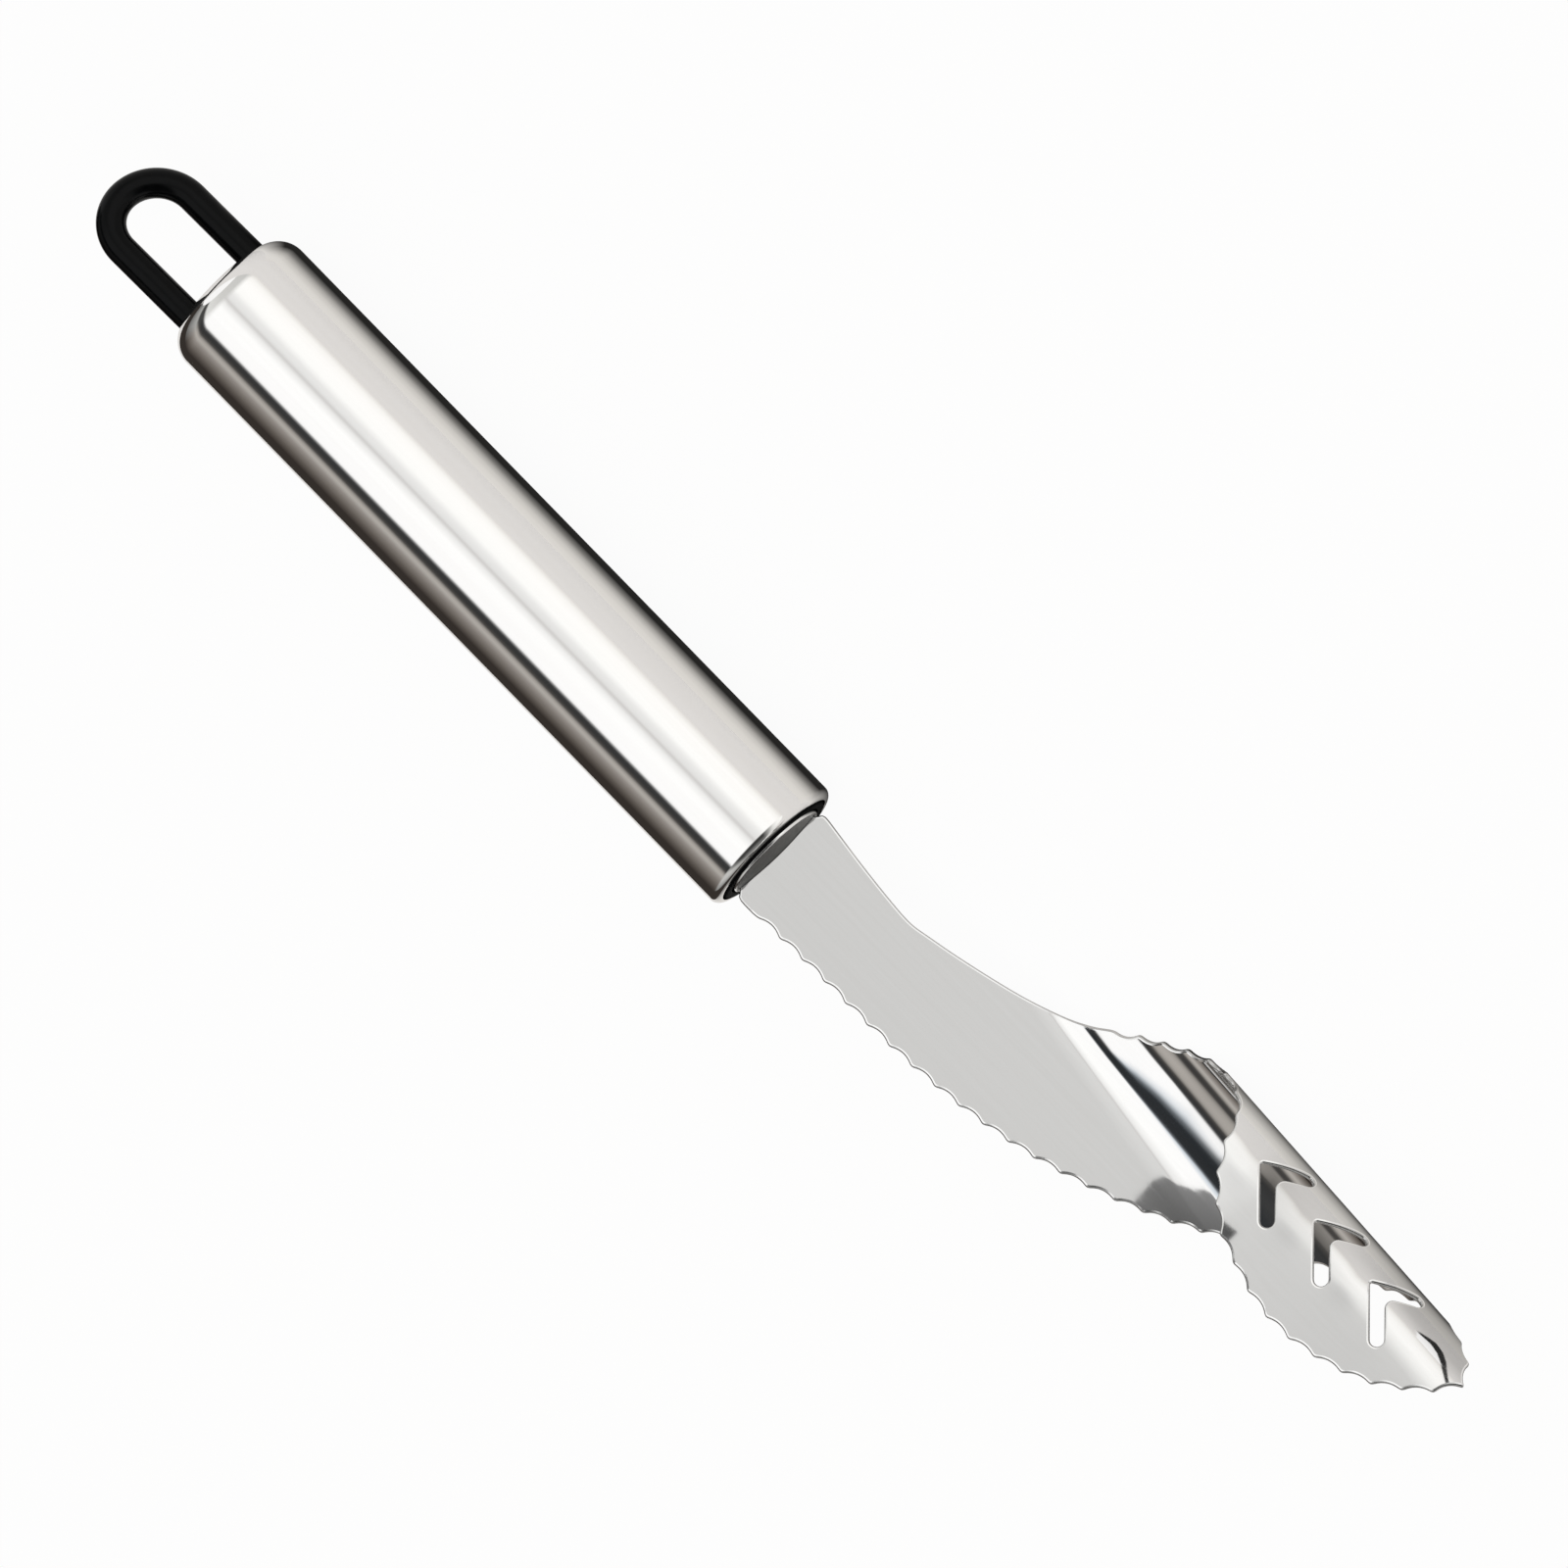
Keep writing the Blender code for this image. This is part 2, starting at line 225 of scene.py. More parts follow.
blade_steel, inputs, grain = new_finish("blade_steel", (0.7, 0.69, 0.68), 0.1, 1.0, 40, 2200, 2200)
painted_sheen_factor = from_mesh(grain, "painted_sheen")
# Painted light and shade: a dull and a bright copy of one steel, mixed by an attribute of the mesh that says how
# bright the steel is painted.
steel = mixed(painted_sheen_factor, tinted(grain, (0.555, 0.55, 0.543), (0.57, 0.565, 0.56)),
              tinted(grain, (0.925, 0.92, 0.912), (0.945, 0.94, 0.935)))
# Painted reflection: a darker, cooler stripe multiplied into the steel's colour in the hollow of the first bend.
steel = mixed(from_mesh(grain, "painted_stripe"), steel, (0.58, 0.65, 0.72, 1.0), "MULTIPLY")
dull, bright = ranged(grain, 0.05, 0.08), ranged(grain, 0.045, 0.07)
coat(inputs, steel, node(grain.id_data, "Mix", "Result", {"Factor": painted_sheen_factor, "A": dull, "B": bright}))

edge_steel, inputs, ground = new_finish("edge_steel", (0.95, 0.948, 0.945), 0.16, 1.0, 3000)
link(ranged(ground, 0.12, 0.2), inputs["Roughness"])

cut_steel, inputs, sheared = new_finish("cut_steel", (0.62, 0.615, 0.61), 0.17, 1.0, 1200)
coat(inputs, tinted(sheared, (0.59, 0.585, 0.58), (0.65, 0.645, 0.64)), ranged(sheared, 0.14, 0.2))

satin_steel, inputs, satin = new_finish("satin_steel", (0.74, 0.735, 0.725), 0.38, 1.0, 2500, 1800, 1800)
steel = tinted(satin, (0.7, 0.695, 0.685), (0.78, 0.775, 0.765))
# Painted shade: the disc's colour darkens next to the slot, where the blade goes in.
coat(inputs, mixed(from_mesh(satin, "painted_slot_shade"), steel, (0.2, 0.2, 0.196, 1.0)), ranged(satin, 0.34, 0.42))

black_plastic, inputs, moulded = new_finish("black_plastic", (0.004, 0.004, 0.005), 0.3, 0.0, 1600)
inputs["Specular IOR Level"].default_value = 0.1
coat(inputs, tinted(moulded, (0.0008, 0.0009, 0.0011), (0.0016, 0.0018, 0.0022)), ranged(moulded, 0.15, 0.22))
bump = {"Height": moulded, "Strength": 0.25, "Distance": 0.00003}
link(node(moulded.id_data, "Bump", "Normal", bump), inputs["Normal"])

matt_black, inputs, moulded = new_finish("matt_plastic", (0.002, 0.002, 0.0024), 0.6, 0.0, 2600)
inputs["Specular IOR Level"].default_value = 0.02
coat(inputs, tinted(moulded, (0.0012, 0.0013, 0.0015), (0.0028, 0.003, 0.0034)), ranged(moulded, 0.5, 0.7))
print("finishes:", [m.name for m in bpy.data.materials if m.name.endswith(("steel", "plastic"))])

# %% [markdown]
# ## The blank of the blade
# A maker stamps the blade flat and rolls it afterwards, so it is drawn flat first. The outline is a run of hollow
# arcs, the teeth, along a smooth line: down the lower edge to the tip, back along the flap, and up the edge that
# climbs the roll. The rest of the upper edge is smooth, and a narrower tang goes into the handle.

# %% Numbers of the blank, millimetres
SHEET = 0.7
SCALLOP = 0.58
ROOT_TO, SMOOTH_TO, LIGHT_GRIND = 3.5, 44.4, 0.12
TANG_HALF, TANG_END, BLADE_START = 6.0, -20.0, 1.32
TOOTH_RUNS = (
    (3.62, [(4.9, -7.1), (14, -6.8), (24, -6.7), (34.3, -6.05), (45, -4.45), (55.6, -1.5),
            (65.7, 2.65), (74.5, 7.7), (82.6, 12.7), (91.6, 18), (99, 22.3), (104.3, 25.6),
            (107.4, 27.8), (108.7, 30)]),
    (3.84, [(108.7, 30), (107, 33.1), (104.2, 35.8), (101, 38.2), (97.5, 39.9), (93.8, 41.1),
            (88, 42.2), (82.5, 41.8), (78.9, 40.9), (75, 39.8), (71.6, 37.6), (68.7, 34.9),
            (66.6, 32)]),
    (3.5, [(66.6, 32), (64.9, 28.7), (61.4, 25.6), (56.1, 22.4), (50.5, 18.8), (47.4, 16.6), (44.7, 14.5)]),
)
UPPER_LINE = [(44.7, 14.5), (42.9, 13), (40.4, 11.4), (37, 10), (32.6, 8.6), (25.6, 6.9), (20.5, 5.9),
              (17.6, 5.5), (10.3, 6.1), (1.9, 7.15)]
ROOT_LINE = [(BLADE_START, 7.2), (BLADE_START, TANG_HALF), (TANG_END, TANG_HALF), (TANG_END, -TANG_HALF),
             (BLADE_START, -TANG_HALF), (BLADE_START, -7.1)]
SLOTS = ((71.9, 30.4), (81.6, 30.25), (91.6, 30.1))


# %% Curves of the blank
def smooth_line(points, step):
    """Catmull-Rom curve: each piece is a cubic whose slope at a point is half the step between its neighbours."""
    p = np.array(points, float)
    p = np.vstack([2 * p[0] - p[1], p, 2 * p[-1] - p[-2]])
    t = np.linspace(0, 1, 24, endpoint=False)[None, :, None]
    a, b, c, d = (p[k:len(p) - 3 + k][:, None, :] for k in range(4))
    fine = 0.5 * (2 * b + (c - a) * t + (2 * a - 5 * b + 4 * c - d) * t ** 2 + (3 * b - a - 3 * c + d) * t ** 3)
    fine = np.vstack([fine.reshape(-1, 2), p[-2:-1]])
    run = np.concatenate([[0], np.cumsum(np.hypot(*np.diff(fine, axis=0).T))])
    at = np.linspace(0, run[-1], max(2, round(run[-1] / step) + 1))
    return np.stack([np.interp(at, run, fine[:, k]) for k in (0, 1)], axis=1)


def toothed(points, pitch, depth, steps=14):
    """Teeth at an even pitch on a smooth line; between two teeth the edge dips in by depth * 4t(1 - t)."""
    tips = smooth_line(points, pitch)
    chord = np.diff(tips, axis=0)
    inward = np.stack([-chord[:, 1], chord[:, 0]], axis=1) / np.hypot(*chord.T)[:, None]
    t = np.linspace(0, 1, steps, endpoint=False)[None, :, None]
    hollow = tips[:-1, None] + chord[:, None] * t + inward[:, None] * depth * 4 * t * (1 - t)
    return hollow.reshape(-1, 2)


def ray(angle):
    """Unit vectors at the given angles."""
    return np.stack([np.cos(angle), np.sin(angle)], axis=-1)


def circle(count):
    """Unit vectors all round."""
    return ray(np.linspace(0, 2 * math.pi, count, endpoint=False))


def rectangle(low_x, high_x, low_y, high_y):
    """Its four corners in turn."""
    return [(low_x, low_y), (high_x, low_y), (high_x, high_y), (low_x, high_y)]


def v_slot(x, y, up=4.8, down=6.05, width=1.75, half=math.radians(41), point=0.3, tongue=1.1, setback=0.25):
    """A V with its point towards the handle: half circles round the two arm ends, small arcs of the radii point and
    tongue at the outer and the inner corner, each centred where its distance from both arms fits."""
    w = width / 2
    corner = np.array((x + w + setback, y))
    nose = (corner - ((w - point) / math.sin(half), 0.0)
            + point * ray(np.linspace(half + math.pi / 2, 1.5 * math.pi - half, 9)))
    low_end = corner + up * ray(-half) + w * ray(np.linspace(-half - math.pi / 2, -half + math.pi / 2, 15))
    crotch = (corner + ((w + tongue) / math.sin(half), 0.0)
              + tongue * ray(np.linspace(1.5 * math.pi - half, half + math.pi / 2, 11)))
    high_end = corner + down * ray(half) + w * ray(np.linspace(half - math.pi / 2, half + math.pi / 2, 15))
    return np.vstack([nose, low_end, crotch, high_end])


def even(loop, step):
    """A closed loop with points added so that no side is longer than step."""
    after = np.roll(loop, -1, axis=0)
    count = np.maximum(1, np.ceil(np.hypot(*(after - loop).T) / step).astype(int))
    side = np.repeat(np.arange(len(loop)), count)
    t = (np.arange(len(side)) - np.repeat(np.cumsum(count) - count, count)) / count[side]
    return loop[side] + (after - loop)[side] * t[:, None]


outline = [toothed(run, pitch, SCALLOP) for pitch, run in TOOTH_RUNS]
outline = even(np.vstack(outline + [smooth_line(UPPER_LINE, 0.7), np.array(ROOT_LINE)]), 0.8)
for _ in range(2):
    outline = (np.roll(outline, 1, axis=0) + 2 * outline + np.roll(outline, -1, axis=0)) / 4
upper = np.interp(outline[:, 0], *np.array(UPPER_LINE)[::-1].T)
on_root = outline[:, 0] < ROOT_TO
on_smooth = (outline[:, 0] < SMOOTH_TO) & (outline[:, 1] > upper - 1.5)
outline_grind = np.where(on_root | on_smooth, LIGHT_GRIND, 1.0)
slot_loops = [even(v_slot(x, y), 0.4)[::-1] for x, y in SLOTS]
print("outline of", len(outline), "points and", len(slot_loops), "slots")

# %% [markdown]
# ## A plate with softened edges
# A stamped sheet has two flat faces and a thin rounded edge. The faces are filled with triangles between the
# outline and the holes. The edge is a small profile carried round every outline: a narrow ground bevel, a round, and
# a bevel on the other side. The bevel gives the bright line that real cut steel shows. The same plate makes the blade
# and, later, the small disc.


# %% Plate from outlines
def inset(loop, distance):
    """Moves a loop to its left, with longer steps at corners; returns the loop and the directions out of it.

    Next to a sharp tooth the moved sides would cross and run backwards, so the ends of such a side are drawn together.
    """
    before = loop - np.roll(loop, 1, axis=0)
    after = np.roll(before, -1, axis=0)
    left = [np.stack([-e[:, 1], e[:, 0]], axis=1) / np.hypot(*e.T)[:, None] for e in (before, after)]
    mean = left[0] + left[1]
    mean /= np.linalg.norm(mean, axis=1, keepdims=True)
    reach = np.maximum((mean * left[0]).sum(axis=1, keepdims=True), 0.55)
    moved = loop + distance * mean / reach
    for _ in range(40):
        ahead = np.roll(moved, -1, axis=0)
        back = ((ahead - moved) * after).sum(axis=1) < 1e-9
        if not back.any():
            break
        middle = (moved + ahead) / 2
        moved = np.where(back[:, None], middle, moved)
        moved = np.where(np.roll(back, 1)[:, None], np.roll(middle, 1, axis=0), moved)
    return moved, -mean


def inside(points, loops):
    """True where a line to the right crosses the loops an odd number of times."""
    a = np.vstack(loops)
    b = np.vstack([np.roll(loop, -1, axis=0) for loop in loops])
    odd = []
    for some in np.array_split(points, max(1, len(points) // 1500)):
        x, y = some[:, :1], some[:, 1:]
        spans = (a[:, 1] > y) != (b[:, 1] > y)
        rise = np.where(b[:, 1] == a[:, 1], 1.0, b[:, 1] - a[:, 1])
        odd.append((spans & (x < a[:, 0] + (y - a[:, 1]) * (b[:, 0] - a[:, 0]) / rise)).sum(axis=1) % 2 == 1)
    return np.concatenate(odd)


def filled(flat, loops, close):
    """Triangles between closed loops, which are the first points of flat; points nearer than close are one."""
    number, ends = np.arange(len(flat)), np.cumsum([0] + [len(loop) for loop in loops])
    sides = [np.stack([number[s:e], np.roll(number[s:e], -1)], axis=1) for s, e in zip(ends[:-1], ends[1:])]
    result = delaunay_2d_cdt([Vector(p) for p in flat.tolist()], np.vstack(sides).tolist(), [], 0, close)
    origin = np.array([ids[0] for ids in result[3]])
    fill = origin[np.array([list(face) for face in result[2]])]
    return fill[inside(flat[fill].mean(axis=1), loops)]


def plate(loops, inner, half, rim, bevel, drop, grinds):
    """Both faces and the edge of a sheet, unrolled: flat points, heights, normals (2 flat + 1 up), faces, kinds.

    Edge profile: a ground bevel that falls by drop * grind over a width of bevel, then part of an ellipse at angle a
    from 80 to -80 degrees, inset rim * (1 - cos a) and height tall * sin a, then the other bevel. Each loop has its
    grind, 1 where it is ground and 0 where it is left square.
    """
    a = np.radians(np.linspace(80, -80, 9))
    start_in = rim * (1 - math.cos(a[0]))
    insets = np.concatenate([[start_in + bevel, start_in], rim * (1 - np.cos(a)), [start_in, start_in + bevel]])
    borders = [inset(loop, insets[0])[0] for loop in loops]
    flat = np.vstack(borders + [inner[inside(inner, [inset(loop, insets[0] + 0.1)[0] for loop in loops])]])
    fill = filled(flat, borders, 1e-4)
    n = len(flat)
    points, heights = [flat, flat], [np.full(n, half), np.full(n, -half)]
    upward = np.tile([0.0, 0.0, 1.0], (n, 1))
    normals, faces = [upward, -upward], [fill, fill + n]
    kinds = [np.zeros(2 * len(fill), int)]
    start = 2 * n
    for loop, grind in zip(loops, grinds):
        count, rings = len(loop), len(insets)
        fall = drop * np.broadcast_to(grind, count)
        tall = (half - fall) / math.sin(a[0])
        rises = np.concatenate([[np.full(count, half), half - fall], np.sin(a)[:, None] * tall,
                                [fall - half, np.full(count, -half)]])
        outs = np.concatenate([[fall] * 2, np.cos(a)[:, None] * tall, [fall] * 2])
        ups = np.concatenate([np.full((2, count), bevel), np.tile(np.sin(a)[:, None] * rim, count),
                              np.full((2, count), -bevel)])
        moved = [inset(loop, way_in) for way_in in insets]
        points += [at for at, _ in moved]
        heights.append(rises.reshape(-1))
        normals += [np.column_stack([side * out[:, None], up]) for (_, side), out, up in zip(moved, outs, ups)]
        faces.append(halves(strips(rings, count, around=True)) + start)
        ground = np.isin(np.arange(rings - 1), (0, rings - 2))
        kinds.append(np.tile(np.repeat(np.where(ground, 1, 2), count), 2))
        start += rings * count
    return np.vstack(points), np.concatenate(heights), np.vstack(normals), np.vstack(faces), np.concatenate(kinds)


# %% [markdown]
# ## Rolling the head
# The head is pressed round a tapered former, so it is part of a cone: every line along which the sheet stays
# straight passes through one point, the apex, and the sheet turns over from line to line. A soft bend lifts it,
# a nearly flat stretch follows, and a tight fold of 135 degrees lays the flap back over the blade. It could be
# bent with lattices or modifiers, but these stretch the sheet, and its teeth with it. Here a small frame of three
# directions travels across the lines: along the line, across the sheet and out of it.

# %% The travelling frame
APEX = np.array([-75.0, 26.0])
BEND_START = np.array([56.0, 6.75])
BEND_AT, BEND_TURN = (0.0, 4.1, 13.8, 24.4), np.radians((0.0, 28.0, 45.0, 180.0))
REACH = np.hypot(*(BEND_START - APEX))
FIRST = math.atan2(*(BEND_START - APEX)[::-1])
STEP, SOFT_BEND, SOFT_WAVE = 0.05, 65, 11


def softened(row, width):
    """A running mean over width steps, with bell-shaped weights."""
    bell = np.hanning(width)
    return np.convolve(np.pad(row, width // 2, mode="edge"), bell / bell.sum(), mode="valid")


across = np.arange(-4.0, 60.0, STEP)
turn = softened(np.interp(across, BEND_AT, BEND_TURN), SOFT_BEND)
bearing = FIRST + across / REACH
frames = [np.array([[math.cos(bearing[0]), math.sin(bearing[0]), 0.0],
                    [-math.sin(bearing[0]), math.cos(bearing[0]), 0.0], [0.0, 0.0, 1.0]])]
for swing, fold in zip(np.diff(bearing), np.diff(turn)):
    line, _, out = frames[-1]
    spin = Matrix.Rotation(math.hypot(swing, fold), 3, Vector(out * swing + line * fold))
    frames.append(frames[-1] @ np.array(spin).T)
frames = np.array(frames)
print("the flap faces", (-frames[-1][2]).round(3), "in the tool's axes")


def rolled(flat, heights, normals):
    """Point = apex + distance * line + height * out, with the frame of the line through the flat point."""
    v = flat - APEX
    distance, angle = np.hypot(*v.T), np.arctan2(v[:, 1], v[:, 0])
    level = ray(angle)
    here = np.stack([np.interp(angle, bearing, frames.reshape(-1, 9)[:, k]) for k in range(9)], axis=1)
    here = here.reshape(-1, 3, 3)
    plain = angle <= bearing[0]
    here[plain, 0, :2] = level[plain]
    here[plain, 1, 0], here[plain, 1, 1] = -level[plain, 1], level[plain, 0]
    here /= np.linalg.norm(here, axis=2, keepdims=True)
    place = distance[:, None] * here[:, 0] + heights[:, None] * here[:, 2] + np.array([*APEX, 0.0])
    along = (normals[:, :2] * level).sum(axis=1)
    aside = normals[:, 1] * level[:, 0] - normals[:, 0] * level[:, 1]
    facing = along[:, None] * here[:, 0] + aside[:, None] * here[:, 1] + normals[:, 2:] * here[:, 2]
    return place, facing


# %% [markdown]
# Rolling by hand never gives a perfect cone. Between the bends the sheet keeps slight waves, a degree or two each
# way, and they are what breaks the mirror image in the roll into dark and bright stripes. The table below gives
# the turn of the sheet, in degrees, across the roll at eight distances from the apex. What differs from the plain
# roll is summed up across the sheet, and the sum is a relief of less than half a millimetre. From 12 mm on the rows
# are one, except that the fold is a little tighter at the tip. Two small forms are added: a pinch at the root and a
# swelling beside each slot.

# %% Waves in the roll
WAVE_AT = (-1.2, 0, 0.35, 0.7, 1.1, 2, 3, 3.3, 3.6, 4, 4.5, 5, 5.5, 6, 6.5, 7, 7.5, 8, 8.5, 8.8, 9, 9.5, 10, 10.5,
           11, 11.5, 12, 12.5, 13, 13.5, 14, 14.6, 15.2, 16, 17.8, 18.8, 19.8, 20.8, 21.8, 22.8, 23.6, 24.4, 25.2, 26,
           27, 28.5)
FOLD = (40, 36.5, 39.5, 43.5, 48, 55, 62, 73, 95.7, 109.5, 122, 134.5, 145, 154, 162, 171, 177, 179, 179.7, 180)
TIP_FOLD = (*FOLD[:10], 123, 137, 150, 162, 170.5, 175.5, 178, 179.2, 179.8, 180)
OUTER_WAVE = (0, 2, 4, 8, 9.5, 13.5, 20, 23.5, 27, 31, 34, 35.5, 35.5, 34.5, 33, 31.8, 30.6, 30, 30, 31, 33, 36.5, 40,
              42, 42.3, 41.5)
UNDER_WAVE = (*OUTER_WAVE[:12], 35.4, 34.9, 34.6, 34.5, 34.4, 34.3, 34.3, 34.4, 34.6, 35.3, 37, 39.3, 39.6, 39.8)
WAVES = {
    122: (0, 2.2, 4, 8.5, 11.5, 18, 25, 29.5, 32.5, 36, 31.5, 29, 28, 28, 28, 28, 28, 28.5, 29, 31, 33.5, 37, 40, 42,
          43, 42, *FOLD),
    126: (0, 2.2, 4, 8.2, 11, 16.5, 24, 28, 32, 34.3, 34.2, 32.3, 31.3, 30.5, 29.9, 29, 28.5, 28.5, 29.5, 32, 34, 37.5,
          40.5, 42.5, 43, 42, *FOLD),
    130: (0, 2.2, 4, 8, 10.5, 15.5, 22.5, 26.5, 30.8, 33.8, 35, 34.8, 33.5, 32.4, 31.4, 30.5, 29.6, 29, 29, 31, 33.8,
          37, 40.3, 42.5, 43, 42, *FOLD),
    134: (0, 2.2, 4, 8, 10, 14.5, 21, 25, 29.5, 32.6, 34.6, 35.2, 34.5, 33.2, 32.2, 31.3, 30.6, 30.3, 30.2, 31.3, 32.8,
          36.5, 40, 42, 42.3, 41.5, *FOLD),
    140: (*OUTER_WAVE, *FOLD), 147: (*UNDER_WAVE, *FOLD), 154: (*UNDER_WAVE, *FOLD), 174: (*UNDER_WAVE, *TIP_FOLD),
}
EASE_FROM, EASE_RUN, LEVEL_AT = 1.0, 14.0, 16.0
wave_rows = np.array([np.interp(across, WAVE_AT, np.radians(row)) for row in WAVES.values()])
wave_rows = np.where((across > WAVE_AT[-1]) | (across < WAVE_AT[0]), turn, wave_rows) - turn
wave_rows = np.array([softened(row, SOFT_WAVE) for row in wave_rows])
wave_sums = np.cumsum(np.tan(wave_rows), axis=1) * STEP
ease = np.clip((across - EASE_FROM) / EASE_RUN, 0, 1)
wave_sums -= wave_sums[:, [round((LEVEL_AT - across[0]) / STEP)]] * ease * ease * (3 - 2 * ease)
print("waves of", wave_sums.min().round(2), "to", wave_sums.max().round(2), "mm")


def root(flat, start=1.35, end=2.6, slope=0.11):
    """The sheet is pinched up a little where it leaves the handle: it falls by slope from start to end, softly."""
    left = end - np.maximum(flat[:, 0], start)
    return slope / 2 * (left + np.sqrt(left ** 2 + 0.04))


def swelling(flat, height=0.12, width=1.2, back=1.3, aside=2.4):
    """The punch leaves a soft swelling on the flap beside each slot's point: -height * exp(-r^2 / 2 width^2).

    It goes down here, because the flap is turned over.
    """
    spots = [(x - back, y + aside) for x, y in SLOTS]
    return -height * sum(np.exp(-((flat - spot) ** 2).sum(axis=1) / (2 * width ** 2)) for spot in spots)


def on_roll(flat):
    """How far a flat point lies across the roll from the start of the bend, and how far out from the apex."""
    v = flat - APEX
    return (np.arctan2(v[:, 1], v[:, 0]) - FIRST) * REACH, np.hypot(*v.T)


def relief(flat):
    """Height at flat points: the sums above between the two nearest distances from the apex, pinch and swellings."""
    over, out = on_roll(flat)
    sums = np.array([np.interp(over, across, row) for row in wave_sums])
    row = np.interp(out, list(WAVES), range(len(WAVES)))
    r, point = np.minimum(row.astype(int), len(WAVES) - 2), np.arange(len(flat))
    return (r + 1 - row) * sums[r, point] + (row - r) * sums[r + 1, point] + root(flat) + swelling(flat)


def slope_of(height, flat, reach=0.04):
    """Slope of a height function along the two flat directions, by central differences."""
    steps = reach * np.eye(2)
    return np.stack([(height(flat + step) - height(flat - step)) / (2 * reach) for step in steps], axis=1)


# %% [markdown]
# Now the blade is filled and rolled. Where it bends, the points of its faces lie on lines through the apex, a tenth
# of a millimetre apart; elsewhere a coarse grid will do. The tables give painted light and shade in the steel's
# colour: how bright it is painted across the roll, with a small change of gloss, with changes by the distance from
# the apex on the flap, on the fold and beside the fold at the tip, and the painted dark stripe in the first bend.

# %% The blade
FAN_RUNS = ((-3.0, 17.0, 0.1), (17.0, 28.0, 0.16), (28.0, 36.0, 1.5))
RIM, BEVEL, DROP = 0.2, 0.15, 0.044
# How bright the steel is painted across the roll, with changes by the distance from the apex: painted light and shade,
# with a small change of gloss.
PAINTED_SHEEN = ((-1.4, 0.36), (0.2, 0.72), (0.52, 1), (14, 1), (19, 0.6), (23.8, 0.62), (25.5, 0.36))
PAINTED_SHEEN_CHANGES = (
    (((19, 0), (23, 1)), ((141, 0.52), (146, 0.42), (150.5, 0.02), (172, -0.1))),
    (((21, 0), (23.7, 1), (25.5, 0)), ((150, -0.35), (160, 0.1), (170, 0.4))),
    (((15.5, 0), (17, 1), (21.6, 1), (22.6, 0)), ((160, 0), (172, -0.5))),
)
# Where the painted dark stripe lies across the first bend, its width by the distance from the apex, and its strength
# across it.
HOLLOW_START, HOLLOW_WIDTH = 3.4, ((121, 0.8), (126, 3), (130, 4.2), (134, 5), (138, 4.6))
PAINTED_STRIPE_PROFILE = ((0, 0), (0.1, 0.8), (0.35, 0.8), (0.5, 1), (0.65, 0.8), (0.8, 0.4), (1, 0))


def by_table(values, table):
    """Straight lines between the rows (value, result) of a table."""
    return np.interp(values, *np.array(table).T)


fan = FIRST + np.concatenate([np.arange(*run) for run in FAN_RUNS]) / REACH
spokes = np.arange(105.0, 192.0, 1.0)
fan_grid = np.stack(np.meshgrid(fan, spokes, indexing="ij"), axis=-1).reshape(-1, 2)
inner = APEX + fan_grid[:, 1:] * ray(fan_grid[:, 0])
flat_grid = np.stack(np.meshgrid(np.arange(-19.0, 70.0, 3.0), np.arange(-6.0, 16.0, 3.0)), axis=-1).reshape(-1, 2)
flat_grid = flat_grid[np.arctan2(*(flat_grid - APEX).T[::-1]) < fan[0] - 0.01]
inner = np.vstack([inner, flat_grid])
flat, heights, normals, faces, kinds = plate(
    [outline] + slot_loops, inner, SHEET / 2, RIM, BEVEL, DROP, [outline_grind, 1.0, 1.0, 1.0])
normals[:, :2] -= slope_of(relief, flat) * normals[:, 2:]
place, facing = rolled(flat, heights + relief(flat), normals)
over, out = on_roll(flat)
# Painted light and shade in the steel's colour, which also changes its gloss a little.
painted_sheen = by_table(over, PAINTED_SHEEN)
for over_table, out_table in PAINTED_SHEEN_CHANGES:
    painted_sheen += by_table(over, over_table) * by_table(out, out_table)
# Painted reflection: a dark, cool stripe on the inner face of the first bend.
painted_stripe = by_table((over - HOLLOW_START) / by_table(out, HOLLOW_WIDTH), PAINTED_STRIPE_PROFILE) * (heights > 0)
blade = piece("blade_sheet", place, faces, facing, [blade_steel, edge_steel, cut_steel], kinds,
              {"painted_sheen": painted_sheen, "painted_stripe": painted_stripe})
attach(blade, "root")
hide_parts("blade")

# %% [markdown]
# ## The handle tube
# The handle is a drawn tube: straight, with a closed back end that is rounded over and a front rim that rolls in
# a little. Its profile is a path of straight lines with the corners turned by arcs, carried round the X axis. The
# back end is different, because the loop's two legs go through it: it is filled like a plate with two holes, and
# then laid over the rounded end.

# %% A profile with rounded corners
TUBE_RADIUS, TUBE_FRONT, SHOULDER, TUBE_RIM, LIP, BORE_END = 9.5, 0.45, 3.6, 1.1, 8.35, -26.0


def rounded(corners, radii, steps):
    """Points and left-hand normals along straight lines whose inner corners are arcs of the given radii."""
    p = np.array(corners, float)
    unit = np.diff(p, axis=0) / np.hypot(*np.diff(p, axis=0).T)[:, None]
    heading = np.unwrap(np.arctan2(unit[:, 1], unit[:, 0]))
    points, angles = [p[:1]], [heading[:1]]
    for corner, u, begin, end, radius in zip(p[1:-1], unit[:-1], heading[:-1], heading[1:], radii):
        side = np.sign(end - begin)
        start = corner - u * radius * math.tan(abs(end - begin) / 2)
        a = np.linspace(begin, end, steps)
        centre = start + side * radius * np.array([-u[1], u[0]])
        points.append(centre - side * radius * np.stack([-np.sin(a), np.cos(a)], axis=1))
        angles.append(a)
    angle = np.concatenate(angles + [heading[-1:]])
    return np.vstack(points + [p[-1:]]), np.stack([-np.sin(angle), np.cos(angle)], axis=1)


